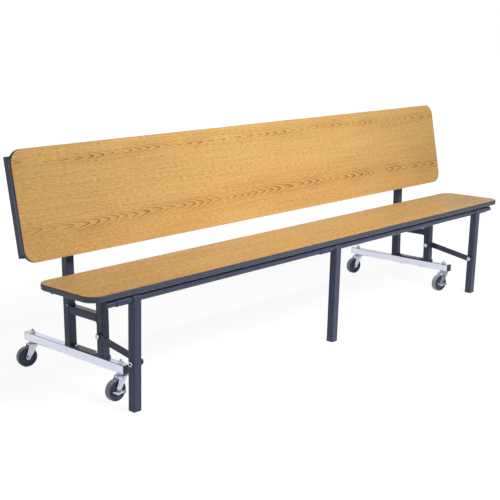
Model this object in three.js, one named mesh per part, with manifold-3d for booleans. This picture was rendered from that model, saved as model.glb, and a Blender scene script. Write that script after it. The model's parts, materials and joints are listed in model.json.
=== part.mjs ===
// Mobile convertible bench, in millimetres, +Z up, front towards -Y, length along X.
// The seat flips up on its rear rail and lifts the three front legs, so that the
// bench rolls on its casters. The back flips level and becomes a table top.
// The origin is on the floor, under the middle of the bench.
import * as THREE from 'three';
import { mergeVertices } from 'three/addons/utils/BufferGeometryUtils.js';
import Module from 'manifold-3d';

const wasm = await Module();
wasm.setup();

// Boards
const BENCH_LENGTH = 2438;
const BOARD_THICKNESS = 20;
const SEAT_DEPTH = 300;
const SEAT_HEIGHT = 424;
const SEAT_CORNER = 52;
const BACK_HEIGHT = 378;
const BACK_CORNER = 48;
const BACK_LEAN = THREE.MathUtils.degToRad(10.4);

// Edge mould: a face with a rounded nose, and a spur pressed into the board's groove
const MOULD_FACE = 3;
const MOULD_NOSE = 2.4;
const MOULD_ROUND = 6;
const SPUR_DEPTH = 9;
const SPUR_THICKNESS = 2.4;

// Plan of the frame, front to rear
const RAIL_SETBACK = 17.5;
const HINGE_SPAN = 223.5;
const UPRIGHT_SPACING = 184;
const BAR_REAR_REACH = 260;
const BAR_FRONT_REACH = 121;
const PLATE_FRONT_REACH = 22;
const END_OVERHANG = 230;
const LEG_LEAN = THREE.MathUtils.degToRad(1.9);

// Square and round tube
const UPRIGHT_TUBE = 32;
const LEG_TUBE = 32;
const BAR_TUBE = 32;
const CROSS_HEIGHT = 29;
const TUBE_WALL = 2;
const TUBE_CORNER = 3.5;
const RAIL_DIAMETER = 22;
const RAIL_WALL = 2;
const HINGE_RAIL_INSET = 67;
const FRONT_RAIL_INSET = 67;

// Heights of the frame
const PLATE_THICKNESS = 6;
const CROSS_Z = 266;
const LINK_UPPER_Z = 204;
const LINK_LOWER_DROP = 221;
const BACK_PIVOT_Z = 690;

// Back, measured from its pivot
const BACK_STANDOFF = 28;
const BACK_DROP = 37;
const CHANNEL_LENGTH = 338;
const CHANNEL_WIDTH = 32;
const CHANNEL_DEPTH = 26;
const CHANNEL_STEEL = 3;
const CHANNEL_INSET = 4;
const BRACKET_STEEL = 3;
const BRACKET_BASE_WIDTH = 76;
const BRACKET_BASE_HEIGHT = 104;
const CHEEK_TOP = 34;
const CHEEK_BOTTOM = 46;
const CHEEK_ROUND = 14;
const STOP_TAB_DROP = 38;
const STOP_TAB_HEIGHT = 6;
const STOP_PIN_RADIUS = 4;
const STOP_PIN_DROP = 20;

// Saddles that hold the rails under the seat
const SADDLE_WALL = 2;
const SADDLE_FLANGE = 3;
const SADDLE_LIP = 22;
const SADDLE_LENGTH = 60;
const FRONT_SADDLE_INSET = 136;
const HINGE_SADDLE_INSET = 107;
const MIDDLE_SADDLE_GAP = 27;

// Links and bolts
const LINK_WIDTH = 25;
const LINK_THICKNESS = 5;
const LINK_WASHER = 1.5;
const LEG_SPACER = 4;
const SPACER_RADIUS = 9;
const BOLT_RADIUS = 5;
const BOLT_HEAD = 17;
const BOLT_HEAD_HEIGHT = 5;

// Plastic ends
const CAP_LIP = 2;
const PLUG_DEPTH = 16;
const GLIDE_FOOT = 5;

// Casters
const STEM_SETBACK = 28;
const STEM_RADIUS = 6;
const DOME_NUT = 17;
const DOME_NUT_HEIGHT = 7;
const DOME_RADIUS = 7;
const RACE_RADIUS = 17;
const RACE_HEIGHT = 6;
const FORK_TOP_RADIUS = 23;
const FORK_TOP_HEIGHT = 6;
const FORK_SHOULDER = 16;
const FORK_HEEL = 21;
const RIVET_RADIUS = 9;
const RIVET_HEIGHT = 3;
const WHEEL_DIAMETER = 76;
const WHEEL_WIDTH = 24;
const WHEEL_HEADROOM = 5.4;
const TREAD_ROUND = 3;
const HUB_RADIUS = 12;
const HUB_RECESS = 2.5;
const RIM_RADIUS = 28;
const CASTER_TRAIL = 28;
const FORK_STEEL = 2.5;
const FORK_SIDE_GAP = 2;
const FORK_FOOT_RADIUS = 9;
const AXLE_RADIUS = 4;
const AXLE_HEAD_RADIUS = 7;
const AXLE_HEAD_HEIGHT = 3.5;
const CASTER_TURN = THREE.MathUtils.degToRad(-12);

// Brake levers of the front casters
const LEVER_STEEL = 2.5;
const LEVER_BOSS = 8;
const LEVER_BELLY = 13.5;
const LEVER_REACH = 25;
const LEVER_TIP = 2;
const LEVER_TIP_RISE = 2;
const LEVER_NECK_ANGLE = THREE.MathUtils.degToRad(20);
const LEVER_BELLY_ANGLE = THREE.MathUtils.degToRad(30);
const PEDAL_HEIGHT = 8;
const PEDAL_DROP = 6;
const PEDAL_DEPTH = 9;

// Clearances
const FIT_GAP = 0.3;
const RUN_GAP = 0.4;
const CHEEK_GAP = 0.6;
const SEAT_STOP_GAP = 1;

// Facets on an arc: an extrusion draws two for each curve segment
const STEPS_PER_SEGMENT = 2;
const TUBE_CORNER_STEPS = 2;
const BOARD_CORNER_STEPS = 8;
const MOULD_NOSE_STEPS = 2;
const ROUND_STEPS = 20;
const SADDLE_STEPS = 16;
const WHEEL_STEPS = 22;
const STEM_STEPS = 12;
const BOLT_STEPS = 12;
const DOME_STEPS = 3;
const LEVER_STEPS = 8;

// Places worked out from the sizes above
const OVERALL_DEPTH = RAIL_SETBACK + HINGE_SPAN + UPRIGHT_SPACING + BAR_REAR_REACH + CAP_LIP;
const SEAT_FRONT_Y = -OVERALL_DEPTH / 2;
const FRONT_RAIL_Y = SEAT_FRONT_Y + RAIL_SETBACK;
const HINGE_Y = FRONT_RAIL_Y + HINGE_SPAN;
const REAR_UPRIGHT_Y = HINGE_Y + UPRIGHT_SPACING;
const BAR_FRONT_Y = HINGE_Y - BAR_FRONT_REACH;
const BAR_REAR_Y = REAR_UPRIGHT_Y + BAR_REAR_REACH;
const RAIL_RADIUS = RAIL_DIAMETER / 2;
const RAIL_DROP = Math.max(UPRIGHT_TUBE, LEG_TUBE) / 2 + SEAT_STOP_GAP;
const SEAT_UNDERSIDE_Z = SEAT_HEIGHT - BOARD_THICKNESS;
const RAIL_Z = SEAT_UNDERSIDE_Z - RAIL_DROP;
const LEG_LENGTH = RAIL_Z / Math.cos(LEG_LEAN);
const LINK_LOWER_Y = FRONT_RAIL_Y + LINK_LOWER_DROP * Math.sin(LEG_LEAN);
const LINK_LOWER_Z = RAIL_Z - LINK_LOWER_DROP * Math.cos(LEG_LEAN);
const LINK_RUN = HINGE_Y - LINK_LOWER_Y;
const LINK_FALL = LINK_UPPER_Z - LINK_LOWER_Z;
const FRAME_X = BENCH_LENGTH / 2 - END_OVERHANG;
const HINGE_RAIL_LENGTH = BENCH_LENGTH - 2 * HINGE_RAIL_INSET;
const FRONT_RAIL_LENGTH = BENCH_LENGTH - 2 * FRONT_RAIL_INSET;
const FRONT_SADDLE_X = BENCH_LENGTH / 2 - FRONT_SADDLE_INSET;
const HINGE_SADDLE_X = BENCH_LENGTH / 2 - HINGE_SADDLE_INSET;
const AXLE_Z = WHEEL_DIAMETER / 2;
const FORK_BOTTOM_Z = WHEEL_DIAMETER + WHEEL_HEADROOM;
const FORK_TOP_Z = FORK_BOTTOM_Z + FORK_TOP_HEIGHT;
const FORK_MIDDLE_Z = (FORK_BOTTOM_Z + FORK_TOP_Z) / 2;
const RACE_BOTTOM_Z = FORK_TOP_Z + FIT_GAP;
const RACE_TOP_Z = RACE_BOTTOM_Z + RACE_HEIGHT;
const BAR_BOTTOM_Z = RACE_TOP_Z + FIT_GAP;
const BAR_TOP_Z = BAR_BOTTOM_Z + BAR_TUBE;
const FOOT_Z = BAR_TOP_Z + PLATE_THICKNESS;
const BORE_CORNER = Math.max(TUBE_CORNER - TUBE_WALL, FIT_GAP);
const LINK_BAY = LINK_WASHER + LINK_THICKNESS + LEG_SPACER + 3 * FIT_GAP;
const LEG_X = FRAME_X + UPRIGHT_TUBE / 2 + LINK_BAY + LEG_TUBE / 2;
const LINK_INNER_X = FRAME_X + UPRIGHT_TUBE / 2 + LINK_WASHER + FIT_GAP;
const FORK_HALF_INSIDE = WHEEL_WIDTH / 2 + FORK_SIDE_GAP;
const FORK_HALF_OUTSIDE = FORK_HALF_INSIDE + FORK_STEEL;
const CHEEK_X = UPRIGHT_TUBE / 2 + CHEEK_GAP + BRACKET_STEEL / 2;
const STOP_PIN_Z = UPRIGHT_TUBE / 2 + STOP_PIN_RADIUS + FIT_GAP;

// Angles
const QUARTER_TURN = Math.PI / 2;
const HALF_TURN = Math.PI;
const FULL_TURN = 2 * Math.PI;

// Finishes
const oakLaminate = new THREE.MeshStandardMaterial({ color: 0xc99b58, roughness: 0.42, metalness: 0 });
const charcoalVinyl = new THREE.MeshStandardMaterial({ color: 0x3b3d47, roughness: 0.5, metalness: 0 });
const charcoalPaint = new THREE.MeshStandardMaterial({ color: 0x454957, roughness: 0.4, metalness: 0.3 });
const chrome = new THREE.MeshStandardMaterial({ color: 0xd5d8ea, roughness: 0.15, metalness: 1 });
const zinc = new THREE.MeshStandardMaterial({ color: 0xc9cddb, roughness: 0.3, metalness: 0.9 });
const blackPlastic = new THREE.MeshStandardMaterial({ color: 0x24252c, roughness: 0.55, metalness: 0 });
const casterRubber = new THREE.MeshStandardMaterial({ color: 0x2a2b38, roughness: 0.7, metalness: 0 });

// Extrusions run along Z, and these turn them along X or Y
const unitX = new THREE.Vector3(1, 0, 0);
const unitY = new THREE.Vector3(0, 1, 0);
const unitZ = new THREE.Vector3(0, 0, 1);
const TURN_TO = {
  x: new THREE.Matrix4().makeBasis(unitY, unitZ, unitX),
  y: new THREE.Matrix4().makeBasis(unitZ, unitX, unitY),
  z: new THREE.Matrix4(),
};

// Solid modelling
function solid(geometry) {
  const bare = geometry.clone();
  bare.deleteAttribute('normal');
  bare.deleteAttribute('uv');
  const merged = mergeVertices(bare);
  const corners = merged.index.array;
  const triangles = [];
  for (let i = 0; i < corners.length; i += 3) {
    const [a, b, c] = [corners[i], corners[i + 1], corners[i + 2]];
    if (a !== b && b !== c && c !== a) {
      triangles.push(a, b, c);
    }
  }
  const vertProperties = new Float32Array(merged.attributes.position.array);
  const triVerts = new Uint32Array(triangles);
  return new wasm.Manifold(new wasm.Mesh({ numProp: 3, vertProperties, triVerts }));
}

function geometryOf(body) {
  const { vertProperties, triVerts } = body.getMesh();
  const geometry = new THREE.BufferGeometry();
  geometry.setAttribute('position', new THREE.BufferAttribute(vertProperties, 3));
  geometry.setIndex(new THREE.BufferAttribute(triVerts, 1));
  geometry.computeVertexNormals();
  return geometry;
}

function join(...pieces) {
  return geometryOf(pieces.map(solid).reduce((whole, piece) => whole.add(piece)));
}

function cut(base, ...tools) {
  return geometryOf(tools.map(solid).reduce((whole, tool) => whole.subtract(tool), solid(base)));
}

function common(first, second) {
  return geometryOf(solid(first).intersect(solid(second)));
}

// Sections and extrusions
function roundedRect(width, height, radius) {
  const x = width / 2 - radius;
  const y = height / 2 - radius;
  const outline = new THREE.Shape();
  outline.absarc(x, -y, radius, -QUARTER_TURN, 0);
  outline.absarc(x, y, radius, 0, QUARTER_TURN);
  outline.absarc(-x, y, radius, QUARTER_TURN, HALF_TURN);
  outline.absarc(-x, -y, radius, HALF_TURN, HALF_TURN + QUARTER_TURN);
  return outline;
}

function circle(x, y, radius) {
  const outline = new THREE.Shape();
  outline.absarc(x, y, radius, 0, FULL_TURN);
  return outline;
}

function extrude(outline, length, axis = 'z', arcSteps = TUBE_CORNER_STEPS) {
  const geometry = new THREE.ExtrudeGeometry(outline, {
    depth: length,
    bevelEnabled: false,
    curveSegments: arcSteps / STEPS_PER_SEGMENT,
  });
  geometry.translate(0, 0, -length / 2);
  return geometry.applyMatrix4(TURN_TO[axis]);
}

function rod(radius, length, axis, steps = ROUND_STEPS) {
  return extrude(circle(0, 0, radius), length, axis, steps);
}

function hexagon(acrossFlats, height, axis) {
  const cornerRadius = acrossFlats / Math.sqrt(3);
  const geometry = new THREE.CylinderGeometry(cornerRadius, cornerRadius, height, 6);
  geometry.rotateX(QUARTER_TURN);
  return geometry.applyMatrix4(TURN_TO[axis]);
}

function squareTube(width, height, length, axis) {
  const section = roundedRect(width, height, TUBE_CORNER);
  section.holes.push(roundedRect(width - 2 * TUBE_WALL, height - 2 * TUBE_WALL, BORE_CORNER));
  return extrude(section, length, axis);
}

function addMesh(parent, name, geometry, material, x = 0, y = 0, z = 0) {
  const mesh = new THREE.Mesh(geometry, material);
  mesh.name = name;
  mesh.position.set(x, y, z);
  parent.add(mesh);
  return mesh;
}

function addGroup(parent, x, y, z) {
  const group = new THREE.Group();
  group.position.set(x, y, z);
  parent.add(group);
  return group;
}

// Laminate board with its edge mould, lying flat
function ring(length, depth, corner, outset, inset) {
  const outline = roundedRect(length + 2 * outset, depth + 2 * outset, corner + outset);
  outline.holes.push(roundedRect(length - 2 * inset, depth - 2 * inset, corner - inset));
  return outline;
}

function boardCore(length, depth, corner) {
  const inset = MOULD_FACE + FIT_GAP;
  const outline = roundedRect(length - 2 * inset, depth - 2 * inset, corner - inset);
  const groove = ring(length, depth, corner, 0, MOULD_FACE + SPUR_DEPTH + FIT_GAP);
  return cut(
    extrude(outline, BOARD_THICKNESS, 'z', BOARD_CORNER_STEPS),
    extrude(groove, SPUR_THICKNESS + 2 * FIT_GAP, 'z', BOARD_CORNER_STEPS),
  );
}

function edgeMould(length, depth, corner) {
  const noseBase = roundedRect(length - 2 * MOULD_NOSE, depth - 2 * MOULD_NOSE, corner - MOULD_NOSE);
  const nose = new THREE.ExtrudeGeometry(noseBase, {
    depth: BOARD_THICKNESS - 2 * MOULD_ROUND,
    bevelThickness: MOULD_ROUND,
    bevelSize: MOULD_NOSE,
    bevelSegments: MOULD_NOSE_STEPS,
    curveSegments: BOARD_CORNER_STEPS / STEPS_PER_SEGMENT,
  });
  nose.translate(0, 0, MOULD_ROUND - BOARD_THICKNESS / 2);
  const inside = roundedRect(length - 2 * MOULD_FACE, depth - 2 * MOULD_FACE, corner - MOULD_FACE);
  const face = cut(nose, extrude(inside, 2 * BOARD_THICKNESS, 'z', BOARD_CORNER_STEPS));
  const spur = ring(length, depth, corner, -MOULD_FACE / 2, MOULD_FACE + SPUR_DEPTH);
  return join(face, extrude(spur, SPUR_THICKNESS, 'z', BOARD_CORNER_STEPS));
}

// Bolt along X with a hexagon head at -X and a nut at +X, centred on its grip
function crossBolt(grip) {
  const faceX = grip / 2 + FIT_GAP;
  const head = hexagon(BOLT_HEAD, BOLT_HEAD_HEIGHT, 'x').translate(-faceX - BOLT_HEAD_HEIGHT / 2, 0, 0);
  const nut = hexagon(BOLT_HEAD, BOLT_HEAD_HEIGHT, 'x').translate(faceX + BOLT_HEAD_HEIGHT / 2, 0, 0);
  return join(head, rod(BOLT_RADIUS, 2 * faceX + BOLT_HEAD_HEIGHT, 'x', BOLT_STEPS), nut);
}

function crossBore(length, y, z) {
  return rod(BOLT_RADIUS + RUN_GAP, length, 'x', BOLT_STEPS).translate(0, y, z);
}

// Seat: board, mould and the saddles that turn on the rails
function saddle(hasFrontLip) {
  const outer = RAIL_RADIUS + RUN_GAP + SADDLE_WALL;
  const top = RAIL_DROP - FIT_GAP;
  const outline = new THREE.Shape();
  if (hasFrontLip) {
    outline.moveTo(-outer - SADDLE_LIP, top);
    outline.lineTo(-outer - SADDLE_LIP, top - SADDLE_FLANGE);
    outline.lineTo(-outer, top - SADDLE_FLANGE);
  } else {
    outline.moveTo(0, top);
    outline.lineTo(0, outer);
  }
  outline.absarc(0, 0, outer, hasFrontLip ? HALF_TURN : QUARTER_TURN, FULL_TURN);
  outline.lineTo(outer, top - SADDLE_FLANGE);
  outline.lineTo(outer + SADDLE_LIP, top - SADDLE_FLANGE);
  outline.lineTo(outer + SADDLE_LIP, top);
  outline.holes.push(circle(0, 0, RAIL_RADIUS + RUN_GAP));
  return extrude(outline, SADDLE_LENGTH, 'x', SADDLE_STEPS);
}

function addSeat(bench) {
  const seat = addGroup(bench, 0, HINGE_Y, RAIL_Z);
  const boardY = SEAT_FRONT_Y + SEAT_DEPTH / 2 - HINGE_Y;
  const boardZ = RAIL_DROP + BOARD_THICKNESS / 2;
  const board = boardCore(BENCH_LENGTH, SEAT_DEPTH, SEAT_CORNER);
  addMesh(seat, 'seat_board', board, oakLaminate, 0, boardY, boardZ);
  const mould = edgeMould(BENCH_LENGTH, SEAT_DEPTH, SEAT_CORNER);
  addMesh(seat, 'seat_edge_mould', mould, charcoalVinyl, 0, boardY, boardZ);
  const middleX = -LEG_TUBE / 2 - MIDDLE_SADDLE_GAP - SADDLE_LENGTH / 2;
  const frontPlaces = { left: -FRONT_SADDLE_X, middle: middleX, right: FRONT_SADDLE_X };
  const hingePlaces = { left: -HINGE_SADDLE_X, middle: 0, right: HINGE_SADDLE_X };
  for (const [place, x] of Object.entries(frontPlaces)) {
    addMesh(seat, `front_saddle_${place}`, saddle(false), charcoalPaint, x, -HINGE_SPAN, 0);
  }
  for (const [place, x] of Object.entries(hingePlaces)) {
    addMesh(seat, `hinge_saddle_${place}`, saddle(true), charcoalPaint, x, 0, 0);
  }
}

// Legs: three square tubes on the front rail, with a glide in each foot
function rail(length) {
  const section = circle(0, 0, RAIL_RADIUS);
  section.holes.push(circle(0, 0, RAIL_RADIUS - RAIL_WALL));
  return extrude(section, length, 'x', ROUND_STEPS);
}

function legTube(hasLink) {
  const half = LEG_TUBE / 2;
  const footZ = GLIDE_FOOT - LEG_LENGTH;
  const boreTop = -RAIL_RADIUS - 2 * TUBE_WALL;
  const side = new THREE.Shape();
  side.moveTo(-half, footZ);
  side.lineTo(half, footZ);
  side.absarc(0, 0, half, 0, HALF_TURN);
  const length = half - footZ;
  const section = extrude(roundedRect(LEG_TUBE, LEG_TUBE, TUBE_CORNER), length);
  section.translate(0, 0, footZ + length / 2);
  const body = common(section, extrude(side, 2 * LEG_TUBE, 'x', ROUND_STEPS / 2));
  const boreSize = LEG_TUBE - 2 * TUBE_WALL;
  const boreLength = boreTop - footZ + TUBE_WALL;
  const bore = extrude(roundedRect(boreSize, boreSize, BORE_CORNER), boreLength);
  bore.translate(0, 0, boreTop - boreLength / 2);
  const railHole = rod(RAIL_RADIUS + FIT_GAP, 2 * LEG_TUBE, 'x');
  const boltHole = crossBore(2 * LEG_TUBE, 0, -LINK_LOWER_DROP);
  return hasLink ? cut(body, bore, railHole, boltHole) : cut(body, bore, railHole);
}

// Glide with a sole cut level with the floor, under the leaning leg
function glide() {
  const half = LEG_TUBE / 2;
  const top = GLIDE_FOOT - FIT_GAP;
  const soleRise = half * Math.tan(LEG_LEAN);
  const side = new THREE.Shape();
  side.moveTo(-half, soleRise);
  side.lineTo(half, -soleRise);
  side.lineTo(half, top);
  side.lineTo(-half, top);
  const section = extrude(roundedRect(LEG_TUBE, LEG_TUBE, TUBE_CORNER), 2 * GLIDE_FOOT);
  const foot = common(section, extrude(side, 2 * LEG_TUBE, 'x'));
  const plugSize = LEG_TUBE - 2 * TUBE_WALL - 2 * FIT_GAP;
  const plug = extrude(roundedRect(plugSize, plugSize, BORE_CORNER), PLUG_DEPTH);
  plug.translate(0, 0, top + PLUG_DEPTH / 2 - TUBE_WALL);
  return join(foot, plug);
}

// Bolt through a leg, with the sleeve that keeps the link clear of the leg's inner face
function legBolt(side) {
  const half = LEG_TUBE / 2;
  const headX = half + FIT_GAP + BOLT_HEAD_HEIGHT / 2;
  const sleeveX = half + FIT_GAP + LEG_SPACER / 2;
  const shankEnd = sleeveX + LEG_SPACER / 2;
  const shank = rod(BOLT_RADIUS, headX + shankEnd, 'x', BOLT_STEPS).translate((headX - shankEnd) / 2, 0, 0);
  const head = hexagon(BOLT_HEAD, BOLT_HEAD_HEIGHT, 'x').translate(headX, 0, 0);
  const sleeve = rod(SPACER_RADIUS, LEG_SPACER, 'x', STEM_STEPS).translate(-sleeveX, 0, 0);
  return join(head, shank, sleeve).rotateZ(side < 0 ? HALF_TURN : 0);
}

function addLegs(bench) {
  const legs = addGroup(bench, 0, FRONT_RAIL_Y, RAIL_Z);
  legs.rotation.x = LEG_LEAN;
  addMesh(legs, 'front_rail', rail(FRONT_RAIL_LENGTH), charcoalPaint);
  for (const [place, side] of [['left', -1], ['middle', 0], ['right', 1]]) {
    addMesh(legs, `leg_${place}`, legTube(side !== 0), charcoalPaint, side * LEG_X);
    addMesh(legs, `leg_glide_${place}`, glide(), blackPlastic, side * LEG_X, 0, -LEG_LENGTH);
    if (side !== 0) {
      addMesh(legs, `link_lower_bolt_${place}`, legBolt(side), zinc, side * LEG_X, 0, -LINK_LOWER_DROP);
    }
  }
}

// Links: flat bars from the front uprights to the outer legs, with a weld nut at the lower end
function link(side) {
  const reach = Math.hypot(LINK_RUN, LINK_FALL);
  const half = LINK_WIDTH / 2;
  const outline = new THREE.Shape();
  outline.absarc(0, 0, half, -QUARTER_TURN, QUARTER_TURN);
  outline.absarc(-reach, 0, half, QUARTER_TURN, HALF_TURN + QUARTER_TURN);
  outline.holes.push(circle(0, 0, BOLT_RADIUS + RUN_GAP));
  const nut = hexagon(BOLT_HEAD, BOLT_HEAD_HEIGHT, 'x');
  nut.translate(-side * (LINK_THICKNESS + BOLT_HEAD_HEIGHT) / 2, -reach, 0);
  return join(extrude(outline, LINK_THICKNESS, 'x', BOLT_STEPS), nut);
}

// End frames: caster bar, base plate, two uprights and a cross-piece
function casterBar() {
  const length = BAR_REAR_Y - BAR_FRONT_Y;
  const stemReach = length / 2 - STEM_SETBACK;
  const stemHole = () => rod(STEM_RADIUS + FIT_GAP, 2 * BAR_TUBE, 'z', BOLT_STEPS);
  return cut(
    squareTube(BAR_TUBE, BAR_TUBE, length, 'y'),
    stemHole().translate(0, -stemReach, 0),
    stemHole().translate(0, stemReach, 0),
  );
}

function barCap(end) {
  const lip = extrude(roundedRect(BAR_TUBE, BAR_TUBE, TUBE_CORNER), CAP_LIP - FIT_GAP, 'y');
  lip.translate(0, end * (CAP_LIP + FIT_GAP) / 2, 0);
  const plugSize = BAR_TUBE - 2 * TUBE_WALL - 2 * FIT_GAP;
  const plug = extrude(roundedRect(plugSize, plugSize, BORE_CORNER), PLUG_DEPTH, 'y');
  plug.translate(0, end * (CAP_LIP / 2 - PLUG_DEPTH / 2), 0);
  return join(lip, plug);
}

function uprightShell(height, boreHeight) {
  const body = extrude(roundedRect(UPRIGHT_TUBE, UPRIGHT_TUBE, TUBE_CORNER), height);
  body.translate(0, 0, height / 2);
  const boreSize = UPRIGHT_TUBE - 2 * TUBE_WALL;
  const bore = extrude(roundedRect(boreSize, boreSize, BORE_CORNER), boreHeight + TUBE_WALL);
  bore.translate(0, 0, (boreHeight - TUBE_WALL) / 2);
  return { body, bore };
}

function frontUpright() {
  const base = FOOT_Z + FIT_GAP;
  const height = RAIL_Z - base;
  const { body, bore } = uprightShell(height, height - RAIL_RADIUS - 2 * TUBE_WALL);
  const cradle = rod(RAIL_RADIUS + FIT_GAP, 2 * UPRIGHT_TUBE, 'x').translate(0, 0, height);
  return cut(body, bore, cradle, crossBore(2 * UPRIGHT_TUBE, 0, LINK_UPPER_Z - base));
}

function rearUpright() {
  const base = FOOT_Z + FIT_GAP;
  const half = UPRIGHT_TUBE / 2;
  const pivotZ = BACK_PIVOT_Z - base;
  const { body, bore } = uprightShell(pivotZ + half, pivotZ - BOLT_RADIUS - 2 * TUBE_WALL);
  const side = new THREE.Shape();
  side.moveTo(-half, 0);
  side.lineTo(half, 0);
  side.absarc(0, pivotZ, half, 0, HALF_TURN);
  const rounded = common(body, extrude(side, 2 * UPRIGHT_TUBE, 'x', ROUND_STEPS / 2));
  return cut(rounded, bore, crossBore(2 * UPRIGHT_TUBE, 0, pivotZ));
}

function addEndFrame(bench, place, side) {
  const frame = addGroup(bench, side * FRAME_X, 0, 0);
  const barY = (BAR_FRONT_Y + BAR_REAR_Y) / 2;
  const barZ = BAR_BOTTOM_Z + BAR_TUBE / 2;
  addMesh(frame, `caster_bar_${place}`, casterBar(), chrome, 0, barY, barZ);
  addMesh(frame, `bar_cap_front_${place}`, barCap(-1), blackPlastic, 0, BAR_FRONT_Y, barZ);
  addMesh(frame, `bar_cap_rear_${place}`, barCap(1), blackPlastic, 0, BAR_REAR_Y, barZ);

  const plateFrontY = HINGE_Y - PLATE_FRONT_REACH;
  const plateRearY = REAR_UPRIGHT_Y + UPRIGHT_TUBE / 2;
  const plateHeight = PLATE_THICKNESS - FIT_GAP;
  const plate = extrude(roundedRect(BAR_TUBE, plateRearY - plateFrontY, TUBE_CORNER), plateHeight);
  const plateY = (plateFrontY + plateRearY) / 2;
  addMesh(frame, `base_plate_${place}`, plate, charcoalPaint, 0, plateY, FOOT_Z - plateHeight / 2);

  addMesh(frame, `front_upright_${place}`, frontUpright(), charcoalPaint, 0, HINGE_Y, FOOT_Z + FIT_GAP);
  addMesh(frame, `rear_upright_${place}`, rearUpright(), charcoalPaint, 0, REAR_UPRIGHT_Y, FOOT_Z + FIT_GAP);
  const crossLength = UPRIGHT_SPACING - UPRIGHT_TUBE - 2 * FIT_GAP;
  const cross = squareTube(CROSS_HEIGHT, UPRIGHT_TUBE, crossLength, 'y');
  addMesh(frame, `cross_piece_${place}`, cross, charcoalPaint, 0, HINGE_Y + UPRIGHT_SPACING / 2, CROSS_Z);

  const linkX = side * (LINK_INNER_X - FRAME_X + LINK_THICKNESS / 2);
  const linkMesh = addMesh(frame, `link_${place}`, link(side), charcoalPaint, linkX, HINGE_Y, LINK_UPPER_Z);
  linkMesh.rotation.x = Math.atan2(LINK_FALL, LINK_RUN);
  const linkGrip = UPRIGHT_TUBE + LINK_WASHER + LINK_THICKNESS + 2 * FIT_GAP;
  const linkBoltX = side * (linkGrip - UPRIGHT_TUBE) / 2;
  const washer = rod(SPACER_RADIUS, LINK_WASHER, 'x', STEM_STEPS);
  washer.translate(side * (UPRIGHT_TUBE + LINK_WASHER + FIT_GAP) / 2 - linkBoltX, 0, 0);
  const linkBolt = join(crossBolt(linkGrip), washer);
  addMesh(frame, `link_upper_bolt_${place}`, linkBolt, zinc, linkBoltX, HINGE_Y, LINK_UPPER_Z);

  const cheekGrip = 2 * CHEEK_X + BRACKET_STEEL;
  addMesh(frame, `back_pivot_bolt_${place}`, crossBolt(cheekGrip), zinc, 0, REAR_UPRIGHT_Y, BACK_PIVOT_Z);
}

// Back: board, mould, end channels, and a bracket over each rear upright
function cheek() {
  const baseY = -BACK_STANDOFF + FIT_GAP;
  const pinEdge = 2 * STOP_PIN_RADIUS;
  const outline = new THREE.Shape();
  outline.moveTo(baseY, -CHEEK_BOTTOM);
  outline.lineTo(0, -CHEEK_BOTTOM);
  outline.absarc(0, 0, CHEEK_ROUND, -QUARTER_TURN / 2, 0);
  outline.absarc(STOP_PIN_DROP, STOP_PIN_Z, pinEdge, 0, QUARTER_TURN);
  outline.lineTo(baseY, CHEEK_TOP);
  return extrude(outline, BRACKET_STEEL, 'x', ROUND_STEPS / 4);
}

function backBracket() {
  const baseY = -BACK_STANDOFF + FIT_GAP + BRACKET_STEEL / 2;
  const base = extrude(roundedRect(BRACKET_BASE_WIDTH, BRACKET_BASE_HEIGHT, TUBE_CORNER), BRACKET_STEEL);
  base.rotateX(QUARTER_TURN).translate(0, baseY, (CHEEK_TOP - CHEEK_BOTTOM) / 2);
  const uprightFace = UPRIGHT_TUBE / 2 + FIT_GAP;
  const tabEnd = (STOP_TAB_DROP * Math.sin(BACK_LEAN) - uprightFace) / Math.cos(BACK_LEAN);
  const tabDepth = tabEnd - baseY;
  const tab = new THREE.BoxGeometry(2 * CHEEK_X, tabDepth, STOP_TAB_HEIGHT);
  tab.translate(0, baseY + tabDepth / 2, -STOP_TAB_DROP - STOP_TAB_HEIGHT / 2);
  const pin = rod(STOP_PIN_RADIUS, 2 * CHEEK_X, 'x', BOLT_STEPS).translate(0, STOP_PIN_DROP, STOP_PIN_Z);
  const body = join(base, cheek().translate(-CHEEK_X, 0, 0), cheek().translate(CHEEK_X, 0, 0), tab, pin);
  return cut(body, crossBore(4 * CHEEK_X, 0, 0));
}

function endChannel() {
  const half = CHANNEL_WIDTH / 2;
  const outline = new THREE.Shape();
  outline.moveTo(-half, 0);
  outline.lineTo(half, 0);
  outline.lineTo(half, CHANNEL_DEPTH);
  outline.lineTo(half - CHANNEL_STEEL, CHANNEL_DEPTH);
  outline.lineTo(half - CHANNEL_STEEL, CHANNEL_STEEL);
  outline.lineTo(-half + CHANNEL_STEEL, CHANNEL_STEEL);
  outline.lineTo(-half + CHANNEL_STEEL, CHANNEL_DEPTH);
  outline.lineTo(-half, CHANNEL_DEPTH);
  return extrude(outline, CHANNEL_LENGTH);
}

function addBack(bench) {
  const back = addGroup(bench, 0, REAR_UPRIGHT_Y, BACK_PIVOT_Z);
  back.rotation.x = -BACK_LEAN;
  const boardY = -BACK_STANDOFF - BOARD_THICKNESS / 2;
  const board = boardCore(BENCH_LENGTH, BACK_HEIGHT, BACK_CORNER).rotateX(QUARTER_TURN);
  addMesh(back, 'back_board', board, oakLaminate, 0, boardY, -BACK_DROP);
  const mould = edgeMould(BENCH_LENGTH, BACK_HEIGHT, BACK_CORNER).rotateX(QUARTER_TURN);
  addMesh(back, 'back_edge_mould', mould, charcoalVinyl, 0, boardY, -BACK_DROP);
  const channelX = BENCH_LENGTH / 2 - CHANNEL_INSET - CHANNEL_WIDTH / 2;
  for (const [place, side] of [['left', -1], ['right', 1]]) {
    const channel = endChannel().translate(0, -BACK_STANDOFF + FIT_GAP, -BACK_DROP);
    addMesh(back, `back_channel_${place}`, channel, charcoalPaint, side * channelX);
    addMesh(back, `back_bracket_${place}`, backBracket(), charcoalPaint, side * FRAME_X);
  }
}

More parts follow.
